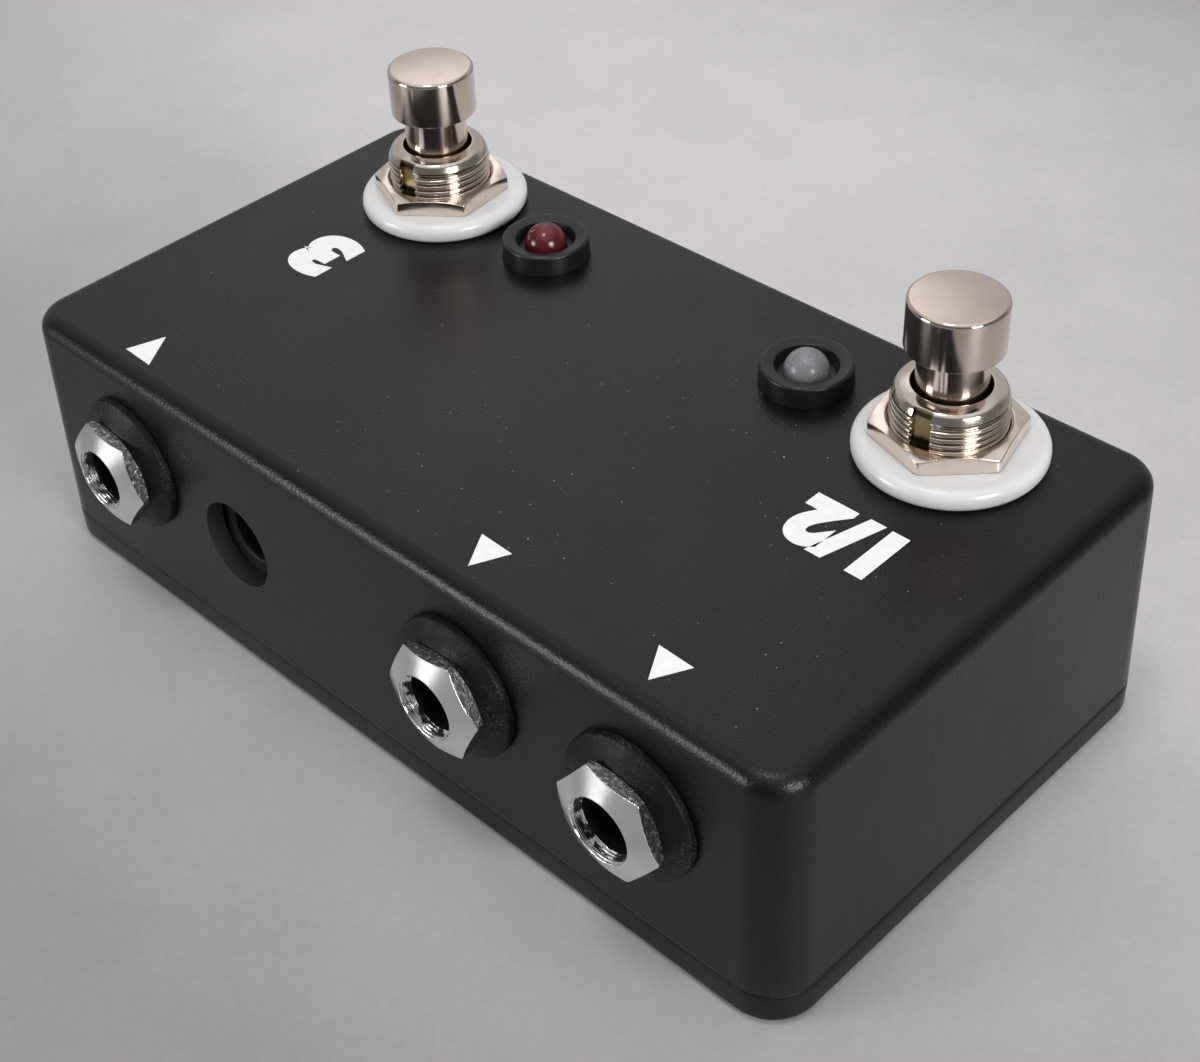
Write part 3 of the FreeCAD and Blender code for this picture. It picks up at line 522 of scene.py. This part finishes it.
def addPiece(name, mesh, slotName, replaced, angle=32, body="box"):
    mesh.polygons.foreach_set("use_smooth", [True] * len(mesh.polygons))
    mesh.set_sharp_from_angle(angle=math.radians(angle))
    return paintedPiece(name, mesh, finishes[slotName], slotName, body, [replaced])


def softEdges(piece, width, angle):
    edge = piece.modifiers.new("softEdges", "BEVEL")
    edge.width, edge.segments, edge.limit_method = width * mm, 2, "ANGLE"
    edge.angle_limit = math.radians(angle)


def writeMesh(work, mesh):
    bmesh.ops.recalc_face_normals(work, faces=work.faces)
    work.to_mesh(mesh)
    work.free()
    return mesh


def joinedMesh(mesh, parts, distance=weld):
    work = bmesh.new()
    for part in parts:
        work.from_mesh(part)
    bmesh.ops.remove_doubles(work, verts=work.verts, dist=distance)
    return writeMesh(work, mesh)


def ringMesh(name, rings, segments, matrix, closed=True):
    vertices = []
    for ring in rings:
        for k in range(segments):
            angle = 2 * math.pi * k / segments
            radius, height = ring(angle) if callable(ring) else ring
            point = Vector((radius * math.cos(angle), radius * math.sin(angle), height))
            vertices.append((matrix @ point) * mm)
    faces = []
    count = len(rings)
    for row in range(count if closed else count - 1):
        following = (row + 1) % count
        for k in range(segments):
            after = (k + 1) % segments
            faces.append((row * segments + k, row * segments + after,
                          following * segments + after, following * segments + k))
    mesh = bpy.data.meshes.new(name)
    mesh.from_pydata(vertices, [], faces)
    return joinedMesh(mesh, [mesh])


def softened(points, steps, closed):
    result = []
    count = len(points)
    for k, point in enumerate(points):
        here = Vector(point[:2])
        radius = point[2] if len(point) > 2 else 0
        if not radius or (not closed and k in (0, count - 1)):
            result.append(tuple(here))
            continue
        before = Vector(points[k - 1][:2]) - here
        after = Vector(points[(k + 1) % count][:2]) - here
        corner = before.angle(after)
        reach = min(radius / math.tan(corner / 2), before.length * longestRound,
                    after.length * longestRound)
        radius = reach * math.tan(corner / 2)
        before.normalize()
        after.normalize()
        centre = here + (before + after).normalized() * (radius / math.sin(corner / 2))
        start = here + before * reach - centre
        end = here + after * reach - centre
        for step in range(steps + 1):
            spoke = start.lerp(end, step / steps).normalized() * radius
            result.append(tuple(centre + spoke))
    return result


def turnedMesh(name, shape, centre, closed=True):
    rings = softened(shape["profile"], shape["steps"], closed)
    return ringMesh(name, rings, shape["segments"], centre, closed)


def appliedMesh(piece, name):
    depsgraph = bpy.context.evaluated_depsgraph_get()
    mesh = bpy.data.meshes.new_from_object(piece.evaluated_get(depsgraph))
    mesh.name = name
    return mesh


def markFaces(mesh, label, centre, chosen):
    back = centre.inverted()
    values = [1.0 if chosen(back @ (polygon.center / mm)) else 0.0 for polygon in mesh.polygons]
    mesh.attributes.new(label, "FLOAT", "FACE").data.foreach_set("value", values)


def nodeCopy(name, nodeName, angle=32):
    mesh = nodes[nodeName].data.copy()
    mesh.name = name
    work = bmesh.new()
    work.from_mesh(mesh)
    bmesh.ops.remove_doubles(work, verts=work.verts, dist=coarseWeld)
    for edge in work.edges:
        edge.smooth = True
    bmesh.ops.dissolve_limit(work, angle_limit=math.radians(sameFace), verts=work.verts, edges=work.edges)
    work.to_mesh(mesh)
    work.free()
    weighted = addPiece(name, mesh, slotOf[nodeName], nodeName, angle).modifiers.new(
        "evenShading", "WEIGHTED_NORMAL")
    weighted.keep_sharp = True


def newGroup(name, inputs):
    group = bpy.data.node_groups.new(name, "GeometryNodeTree")
    for label, kind in inputs.items():
        group.interface.new_socket(label, in_out="INPUT", socket_type="NodeSocket" + kind)
    group.interface.new_socket("Geometry", in_out="OUTPUT", socket_type="NodeSocketGeometry")
    given = group.nodes.new("NodeGroupInput").outputs
    return group, given, group.nodes.new("NodeGroupOutput").inputs["Geometry"]


def grow(group, kind, inputs, **settings):
    node = group.nodes.new(kind)
    for key, value in settings.items():
        setattr(node, key, value)
    setInputs(group, node, inputs)
    return node.outputs


def finishGroup(group, grown, material, result):
    real = grow(group, "GeometryNodeRealizeInstances", {"Geometry": grown})["Geometry"]
    coat = grow(group, "GeometryNodeSetMaterial", {"Geometry": real, "Material": material})
    group.links.new(coat["Geometry"], result)


def grownMesh(name, group, values):
    seed = addObject(name, bpy.data.meshes.new(name + "Seed"))
    modifier = seed.modifiers.new("grow", "NODES")
    modifier.node_group = group
    for item in group.interface.items_tree:
        if item.in_out == "INPUT":
            modifier[item.identifier] = values[item.name]
    mesh = appliedMesh(seed, name)
    bpy.data.objects.remove(seed)
    return mesh


# Die-cast box and its lid

nodeCopy("boxShell", "enclosure_body")
nodeCopy("lidPlate", "base_plate")
print("box made")

# Footswitches

switches = {
    "left": {"x": -36.25, "turn": 37.0, "washerShift": (0.1, 0.3)},
    "right": {"x": 37.57, "turn": 44.0, "washerShift": (0.5, -0.14)},
}
switchY = 17.2
plunger = {
    "profile": [
        (0, 25.0), (1.0, 25.0, 0.2), (1.0, 26.9), (2.0, 26.9, 0.2), (2.0, 35.5),
        (3.62, 35.5, 0.25), (3.62, 43.3, 0.3), (4.85, 43.66, 0.06), (4.97, 43.74, 0.1),
        (4.97, 49.1, 0.45), (0, 49.1)],
    "segments": 160,
    "steps": 6,
}
bushing = {
    "profile": [
        (2.08, 27.2), (5.0, 27.2, 0.2), (5.0, 28.3), (5.5, 28.3, 0.2), (5.5, 37.85),
        (5.8, 37.8, 0.1), (5.8, 38.15, 0.15), (5.4, 39.0, 0.9), (4.05, 39.4, 0.12),
        (3.95, 38.6), (3.74, 38.2), (3.74, 29.3), (2.08, 29.3)],
    "segments": 160,
    "steps": 6,
    "mouth": 4.02,
}
keyway = {"width": 2.1, "foot": 5.15, "turn": 6.0, "middle": 35, "cut": 4, "height": 13.2,
          "spare": 0.01, "rim": 0.33, "rimInset": 0.05}
thread = {"low": 33.25, "turns": 6, "pitch": 0.75, "middle": 5.65, "ridge": 0.28, "open": 0.062,
          "steps": 96, "sides": 14}
washer = {
    "profile": [(6.3, 31.0, 0.2), (9.85, 31.0, 0.95), (9.85, 33.3, 1.05), (6.3, 33.3, 0.25)],
    "segments": 160,
    "steps": 6,
}
switchNut = {"flats": 14.0, "spare": 0.1, "inset": 0.35, "low": 33.3, "high": 35.2, "bore": 6.0,
             "sunk": 0.25, "chamfer": 0.45, "under": 0.12, "segments": 168, "edge": 0.07, "crease": 28}


def hexRadius(flats, turn):
    def radius(angle):
        away = (angle - math.radians(turn) - math.pi / 6) % (math.pi / 3)
        away = min(away, math.pi / 3 - away)
        return flats / 2 / math.cos(away)
    return radius


def coneHeight(radius, wide, narrow, edge, face):
    share = (radius - narrow) / (wide - narrow)
    return face + (edge - face) * max(share, 0)


def hexRing(flats, turn, narrow, edge, face, share=0):
    outline = hexRadius(flats, turn)

    def ring(angle):
        radius = outline(angle) * (1 - share) + narrow * share
        return radius, coneHeight(radius, flats / math.sqrt(3), narrow, edge, face)
    return ring


threadGroup, given, result = newGroup("threadRidges", {
    "Turns": "Int", "Pitch": "Float", "Middle": "Float", "Ridge": "Float", "Closed": "Float",
    "Material": "Material"})
rise = grow(threadGroup, "ShaderNodeCombineXYZ", {"Z": given["Pitch"]})["Vector"]
starts = grow(threadGroup, "GeometryNodeMeshLine", {"Count": given["Turns"], "Offset": rise})["Mesh"]
share = grow(threadGroup, "ShaderNodeMath", {0: given["Pitch"], 1: given["Closed"]},
             operation="MULTIPLY")["Value"]
helix = grow(threadGroup, "GeometryNodeCurveSpiral", {
    "Resolution": thread["steps"], "Rotations": given["Closed"], "Start Radius": given["Middle"],
    "End Radius": given["Middle"], "Height": share, "Reverse": True})["Curve"]
outline = grow(threadGroup, "GeometryNodeCurvePrimitiveCircle", {
    "Resolution": thread["sides"], "Radius": given["Ridge"]})["Curve"]
ridge = grow(threadGroup, "GeometryNodeCurveToMesh", {
    "Curve": helix, "Profile Curve": outline, "Fill Caps": True})["Mesh"]
ridges = grow(threadGroup, "GeometryNodeInstanceOnPoints", {
    "Points": starts, "Instance": ridge})["Instances"]
finishGroup(threadGroup, ridges, given["Material"], result)


# Faces in the keyway slot, and the bore wall inside the mouth, whose darker colour is painted shade
def inSlot(spot):
    across, reach = abs(spot.x), spot.xy.length
    half, foot = keyway["width"] / 2, keyway["foot"]
    inside = across < half + keyway["spare"] and -spot.y > foot - keyway["spare"]
    onRim = reach > foot + keyway["rim"] and across < half - keyway["rimInset"]
    return reach < bushing["mouth"] or (inside and not onRim)


def bushingMesh(name, x):
    axis = Matrix.Translation((x, switchY, 0))
    turning = Matrix.Rotation(math.radians(keyway["turn"]), 4, "Z")
    core = addObject("core", turnedMesh(name + "Core", bushing, axis))
    work = bmesh.new()
    inPlace = axis @ turning @ Matrix.Translation(
        (0, -keyway["foot"] - keyway["cut"] / 2, keyway["middle"])) @ Matrix.Diagonal(
        (keyway["width"], keyway["cut"], keyway["height"], 1))
    bmesh.ops.create_cube(work, size=1, matrix=Matrix.Scale(mm, 4) @ inPlace)
    cutter = addObject("cutter", writeMesh(work, bpy.data.meshes.new("keywayCutter")))
    cut = core.modifiers.new("keyway", "BOOLEAN")
    cut.object, cut.operation, cut.solver = cutter, "DIFFERENCE", "EXACT"
    mesh = appliedMesh(core, name)
    bpy.data.objects.remove(cutter)
    bpy.data.objects.remove(core)
    ridges = grownMesh(name + "Thread", threadGroup, {
        "Turns": thread["turns"], "Pitch": thread["pitch"] * mm, "Middle": thread["middle"] * mm,
        "Ridge": thread["ridge"] * mm, "Closed": 1 - thread["open"],
        "Material": finishes["bush_nickel"]})
    start = math.radians(keyway["turn"] - 90 + 180 * thread["open"])
    low = Matrix.Translation((x * mm, switchY * mm, thread["low"] * mm))
    ridges.transform(low @ Matrix.Rotation(start, 4, "Z"))
    joinedMesh(mesh, [mesh, ridges])
    markFaces(mesh, "brassAndShadeFaces", axis @ turning, inSlot)
    return mesh


def switchNutRings(turn):
    flats, low, high = switchNut["flats"], switchNut["low"], switchNut["high"]
    flat = flats / 2 + switchNut["spare"]
    inner = flat - switchNut["inset"]
    bore, sunk = switchNut["bore"], switchNut["sunk"]
    return [
        (bore + sunk, low), (inner, low),
        hexRing(flats, turn, flat, low + switchNut["under"], low),
        hexRing(flats, turn, flat, high - switchNut["chamfer"], high),
        (inner, high), (bore + sunk, high), (bore, high - sunk), (bore, low + sunk)]


for side, sizes in switches.items():
    centre = Matrix.Translation((sizes["x"], switchY, 0))
    mesh = turnedMesh(side + "Plunger", plunger, centre, False)
    addPiece(side + "Plunger", mesh, "cap_nickel", side + "_plunger", body=side + "_plunger_group")
    shiftX, shiftY = sizes["washerShift"]
    moved = Matrix.Translation((sizes["x"] + shiftX, switchY + shiftY, 0))
    mesh = turnedMesh(side + "Washer", washer, moved)
    addPiece(side + "Washer", mesh, "washer_white", side + "_nylon_washer", 50)
    mesh = ringMesh(side + "SwitchNut", switchNutRings(sizes["turn"]), switchNut["segments"], centre)
    nut = addPiece(side + "SwitchNut", mesh, "nut_nickel", side + "_switch_nut")
    softEdges(nut, switchNut["edge"], switchNut["crease"])
    mesh = bushingMesh(side + "Bushing", sizes["x"])
    addPiece(side + "Bushing", mesh, "bush_nickel", side + "_bushing")
    nodeCopy(side + "Spring", side + "_return_spring", 60)
print("footswitches made")

# Lamps

lamps = {"left": -18.7, "right": 19.7}
bezel = {
    "profile": [
        (3.9, 24.6), (3.9, 31.0), (5.08, 31.0, 0.05), (4.95, 33.22, 0.25), (4.68, 33.45, 0.3),
        (3.45, 33.15, 0.22), (3.05, 31.85, 0.15), (2.5, 31.85), (2.5, 27.2), (2.95, 27.2),
        (2.95, 24.6)],
    "segments": 128,
    "steps": 5,
}

for side, x in lamps.items():
    mesh = turnedMesh(side + "Bezel", bezel, Matrix.Translation((x, switchY, 0)))
    addPiece(side + "Bezel", mesh, "bezel_black", side + "_lamp_bezel", 50)
    nodeCopy(side + "Lens", side + "_lamp_lens", 25)
print("lamps made")

# Jacks, on the front wall that leans back

front = {"lean": 1.2, "out": 29.938, "height": 18.6}
onFront = Matrix.Translation((0, -front["out"], front["height"])) @ Matrix.Rotation(
    math.radians(90 - front["lean"]), 4, "X")
jacks = {
    "left": {"x": -37.8, "turn": 53.0},
    "middle": {"x": 15.45, "turn": 5.0},
    "right": {"x": 38.5, "turn": 52.0},
}
jackNut = {
    "flats": 11.05, "inset": 0.2, "low": 2.1, "back": 0.5, "side": 3.32, "slopes": (0, 0.35, 0.7),
    "rim": 4.52, "rimRadius": 3.66, "rimFlat": 0.06, "lip": 0.12, "bore": 3.55, "throat": 3.27,
    "thread": 4.55, "wall": 1.4, "grooves": 4, "groove": ((0.25, 0.14), (0.5, 0.14), (0.8, 0), (1, 0)),
    "segments": 192, "edge": 0.05, "crease": 20,
}
jackWasher = {
    "profile": [(4.65, 0, 0.05), (7.85, 0, 0.1), (7.85, 0.8, 0.25), (5.5, 2.1, 0.3), (4.65, 2.1, 0.1)],
    "segments": 160,
    "steps": 4,
}


def jackNutRings(turn):
    flats, low, rim = jackNut["flats"], jackNut["low"], jackNut["rim"]
    flat, rimRadius = flats / 2 - jackNut["inset"], jackNut["rimRadius"]
    bore, throat, threaded = jackNut["bore"], jackNut["throat"], jackNut["thread"]
    lip = rim - jackNut["lip"]
    rings = [(threaded, low), (flat, low), hexRing(flats, turn, flat, low + jackNut["back"], low)]
    rings += [hexRing(flats, turn, rimRadius, jackNut["side"], rim, share) for share in jackNut["slopes"]]
    rings += [(rimRadius, rim), (rimRadius - jackNut["rimFlat"], rim), (bore, lip)]
    for groove in range(jackNut["grooves"]):
        for step, dip in jackNut["groove"]:
            share = (groove + step) / jackNut["grooves"]
            depth = (jackNut["wall"] - jackNut["lip"]) * share
            rings.append((bore + (throat - bore) * share + dip, lip - depth))
    return rings + [(threaded, rim - jackNut["wall"])]


def inBore(spot):
    return spot.xy.length < jackNut["bore"] and spot.z < jackNut["rim"] - jackNut["lip"]


for side, sizes in jacks.items():
    centre = onFront @ Matrix.Translation((sizes["x"], 0, 0))
    mesh = ringMesh(side + "JackNut", jackNutRings(sizes["turn"]), jackNut["segments"], centre)
    markFaces(mesh, "bore", centre, inBore)
    nut = addPiece(side + "JackNut", mesh, "nut_chrome", side + "_jack_nut", 20)
    softEdges(nut, jackNut["edge"], jackNut["crease"])
    mesh = turnedMesh(side + "JackWasher", jackWasher, centre)
    addPiece(side + "JackWasher", mesh, "washer_black", side + "_jack_washer", 50)
    nodeCopy(side + "JackBody", side + "_jack_body")
nodeCopy("inletSocket", "inlet_socket")
print("jacks made")

# White print on the top

printSizes = {
    "height": 31.0,
    "thickness": 0.03,
    "triangles": [
        ((35.35, -22.56), (39.64, -22.68), (37.64, -26.48)),
        ((12.2, -22.41), (16.49, -22.56), (14.61, -26.51)),
        ((-40.13, -26.54), (-35.68, -26.7), (-38.65, -22.23))],
    "numbers": [
        {"text": "1/2", "middle": (37.9, -0.1), "size": (11.0, 7.6)},
        {"text": "3", "middle": (-38.4, 0.2), "size": (6.4, 8.6)}],
    "pen": {"offset": 0.07, "extrude": 0.1, "space_character": 1.08},
}
low = printSizes["height"] * mm
high = low + printSizes["thickness"] * mm
work = bmesh.new()
for corners in printSizes["triangles"]:
    loops = [[work.verts.new((x * mm, y * mm, z)) for x, y in corners] for z in (low, high)]
    work.faces.new(loops[0])
    work.faces.new(loops[1])
    for k in range(3):
        after = (k + 1) % 3
        work.faces.new((loops[0][k], loops[0][after], loops[1][after], loops[1][k]))
paintedPiece("printArrows", writeMesh(work, bpy.data.meshes.new("printArrows")), ink)

for count, sizes in enumerate(printSizes["numbers"]):
    name = "printNumber" + str(count + 1)
    words = bpy.data.curves.new("number", "FONT")
    words.body = sizes["text"]
    for key, value in printSizes["pen"].items():
        setattr(words, key, value)
    writer = addObject("number", words)
    mesh = appliedMesh(writer, name)
    bpy.data.objects.remove(writer)
    corners = [vertex.co for vertex in mesh.vertices]
    least = Vector([min(co[axis] for co in corners) for axis in range(3)])
    most = Vector([max(co[axis] for co in corners) for axis in range(3)])
    width, height = sizes["size"]
    scale = Matrix.Diagonal((width * mm / (most.x - least.x), height * mm / (most.y - least.y),
                             (high - low) / (most.z - least.z), 1))
    x, y = sizes["middle"]
    turn = Matrix.Rotation(math.pi, 4, "Z")
    middle = Matrix.Translation((x * mm, y * mm, (low + high) / 2))
    mesh.transform(middle @ turn @ scale @ Matrix.Translation(-(least + most) / 2))
    paintedPiece(name, joinedMesh(mesh, [mesh], coarseWeld), ink)
print("print made")

# Dust on the top

dust = {
    "fields": [
        {"middle": (0, 0), "size": (104, 50), "density": 6000.0, "seed": 3},
        {"middle": (22, -6), "size": (52, 40), "density": 34000.0, "seed": 8}],
    "height": 31.0,
    "radius": 0.075,
    "least": (0.5, 0.5, 0.3),
    "most": (1.7, 1.2, 0.7),
    "turn": (0.4, 0.4, 6.28),
}
dustGroup, given, result = newGroup("dustField", {
    "Width": "Float", "Depth": "Float", "Density": "Float", "Seed": "Int", "Radius": "Float",
    "Least": "Vector", "Most": "Vector", "Turn": "Vector", "Material": "Material"})
sheet = grow(dustGroup, "GeometryNodeMeshGrid", {
    "Size X": given["Width"], "Size Y": given["Depth"], "Vertices X": 2, "Vertices Y": 2})["Mesh"]
spots = grow(dustGroup, "GeometryNodeDistributePointsOnFaces", {
    "Mesh": sheet, "Density": given["Density"], "Seed": given["Seed"]})["Points"]
grain = grow(dustGroup, "GeometryNodeMeshIcoSphere", {
    "Radius": given["Radius"], "Subdivisions": 1})["Mesh"]
sizesOf = grow(dustGroup, "FunctionNodeRandomValue", {
    0: given["Least"], 1: given["Most"], "Seed": given["Seed"]}, data_type="FLOAT_VECTOR")["Value"]
turns = grow(dustGroup, "FunctionNodeRandomValue", {
    0: (0, 0, 0), 1: given["Turn"], "Seed": given["Seed"]}, data_type="FLOAT_VECTOR")["Value"]
grains = grow(dustGroup, "GeometryNodeInstanceOnPoints", {
    "Points": spots, "Instance": grain, "Scale": sizesOf, "Rotation": turns})["Instances"]
finishGroup(dustGroup, grains, given["Material"], result)

work = bmesh.new()
for field in dust["fields"]:
    width, depth = field["size"]
    x, y = field["middle"]
    grown = grownMesh("dust", dustGroup, {
        "Width": width * mm, "Depth": depth * mm, "Density": field["density"],
        "Seed": field["seed"], "Radius": dust["radius"] * mm, "Least": dust["least"],
        "Most": dust["most"], "Turn": dust["turn"], "Material": dustCoat})
    grown.transform(Matrix.Translation((x * mm, y * mm, dust["height"] * mm)))
    work.from_mesh(grown)
mesh = bpy.data.meshes.new("dustSpecks")
work.to_mesh(mesh)
work.free()
print("dust made:", len(mesh.polygons), "faces")
paintedPiece("dustSpecks", mesh, dustCoat)

# Every CAD node that still shows takes its finish

for name, node in nodes.items():
    node.data.materials.clear()
    node.data.materials.append(finishes[slotOf[name]])

for piece, slotName, body, replaced in pieces:
    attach(piece, body)
    if replaced:
        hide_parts(*replaced)
for side, sizes in switches.items():
    piece = bpy.data.objects[side + "Spring"]
    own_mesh(piece)
print("pieces ride on their bodies:", len(pieces))

# Floor, lamps and sky

ground = {
    "reach": 3.0,
    "drop": 0.0002,
    "tone": rgb(188, 185, 186),
    "scale": (10, 10, 10),
    # shadePlain, shadeSquares and paintedLightNearBox paint light and shade into the floor's colour: a
    # smooth gradient, and a lift next to the box that lightens its shadow
    "shadePlain": (-0.095, 0.575, -0.116),
    "shadeSquares": (-0.136, -0.39, 0.018),
    "paintedLightNearBox": {"half": (0.56, 0.3, 1), "fade": -11, "lift": 0.12},
    "limits": {"Min": 0.6, "Max": 1.3},
    "mottle": (60, 4, 0.6),
    "fibres": (1200, 3, 0.7),
    "patchy": (0.97, 1.03),
    "grain": {"texture": (900, 3, 0.6), "strength": 0.05, "depth": 0.0002},
    "inputs": {"Roughness": 0.5, "Specular IOR Level": 0.5},
}
sky = {
    "ceiling": {"colour": (0.88, 0.87, 0.87, 1), "from": (0.58, 0.92)},
    "wall": {"colour": (0.5, 0.5, 0.5, 1), "from": (0.1, 0.7), "azimuth": 226},
    "shade": (0.16, 0.16, 0.16, 1),
    "bright": {"azimuth": 227, "elevation": 36.5, "near": 3, "far": 14.5, "colour": (1.3, 1.28, 1.3, 1)},
    "strength": 1.0,
}
windows = {
    "leftWindow": {"azimuth": -31, "elevation": 13, "size": (0.3, 0.25), "power": 2.8},
    "ceilingLamp": {"azimuth": -2, "elevation": 80, "size": (0.15, 0.15), "power": 1.2},
    "rightWindow": {"azimuth": 79, "elevation": 24, "size": (0.3, 0.26), "power": 4.8},
}
windowAim = {"middle": (0, 0, 20), "distance": 900}


# Painted light: the floor's colour lightens close to the box, thinning the box's shadow
def paintedLightNearBox(tree, x, y):
    beside = ground["paintedLightNearBox"]
    apart = vectorMath(tree, "ABSOLUTE", vectorOf(tree, X=x, Y=y))
    apart = vectorMath(tree, "MAXIMUM", vectorMath(tree, "SUBTRACT", apart, beside["half"]))
    fade = times(tree, vectorMath(tree, "DOT_PRODUCT", apart, apart), beside["fade"])
    return times(tree, math2(tree, "EXPONENT", fade), beside["lift"])


def paperFloor():
    material, tree, shader, where = newMaterial("paperFloor")
    spot = vectorMath(tree, "MULTIPLY", coordinate(tree, "Object"), ground["scale"])
    x, y = along(tree, spot, "X"), along(tree, spot, "Y")
    plain = vectorOf(tree, X=x, Y=y, Z=times(tree, x, y))
    squares = vectorOf(tree, X=math2(tree, "POWER", x, 2), Y=math2(tree, "POWER", y, 2), Z=1)
    # Painted light and shade: the floor's colour follows a smooth gradient across the floor and lightens
    # next to the box
    paintedLightAndShade = plus(tree, vectorMath(tree, "DOT_PRODUCT", plain, ground["shadePlain"]),
                vectorMath(tree, "DOT_PRODUCT", squares, ground["shadeSquares"]))
    paintedLightAndShade = math2(tree, "EXPONENT", plus(tree, paintedLightAndShade, paintedLightNearBox(tree, x, y)))
    paintedLightAndShade = addNode(tree, "Clamp", {"Value": paintedLightAndShade, **ground["limits"]}).outputs["Result"]
    mottle, fibres = [spread(tree, noise(tree, where, ground[key]), *ground["patchy"])
                      for key in ("mottle", "fibres")]
    tone = times(tree, paintedLightAndShade, times(tree, mottle, fibres))
    shaded = addNode(tree, "VectorMath", {0: ground["tone"][:3], "Scale": tone}, operation="SCALE")
    grain = ground["grain"]
    height = noise(tree, where, grain["texture"])
    setInputs(tree, shader, {
        "Base Color": shaded.outputs["Vector"], **ground["inputs"],
        "Normal": bump(tree, height, grain["strength"], grain["depth"])})
    return material


reach, drop = ground["reach"], ground["drop"]
floorMesh = bpy.data.meshes.new("floor")
floorMesh.from_pydata([(-reach, -reach, -drop), (reach, -reach, -drop), (reach, reach, -drop),
                       (-reach, reach, -drop)], [], [(0, 1, 2, 3)])
floorMesh.materials.append(paperFloor())
floor = addObject("floor", floorMesh)

world = bpy.data.worlds.new("sky")
scene.world = world
world.use_nodes = True
tree = world.node_tree
way = coordinate(tree, "Generated")
ceiling, wall, bright = sky["ceiling"], sky["wall"], sky["bright"]
toWall = vectorMath(tree, "DOT_PRODUCT", way, direction(wall["azimuth"], 0))
toBright = vectorMath(tree, "DOT_PRODUCT", way, direction(bright["azimuth"], bright["elevation"]))
far, near = [math.cos(math.radians(bright[key])) for key in ("far", "near")]
colour = sky["shade"]
for value, reach, tint in (
        (toWall, wall["from"], wall["colour"]),
        (along(tree, way, "Z"), ceiling["from"], ceiling["colour"]),
        (toBright, (far, near), bright["colour"])):
    colour = blendColour(tree, smoothSpread(tree, value, *reach), colour, tint)
setInputs(tree, tree.nodes["Background"], {"Color": colour, "Strength": sky["strength"]})

for name, sizes in windows.items():
    lampData = bpy.data.lights.new(name, "AREA")
    lampData.shape = "RECTANGLE"
    lampData.size, lampData.size_y = sizes["size"]
    lampData.energy = sizes["power"]
    back = direction(sizes["azimuth"], sizes["elevation"])
    aim(addObject(name, lampData), windowAim["middle"], back, windowAim["distance"])
print("studio set")
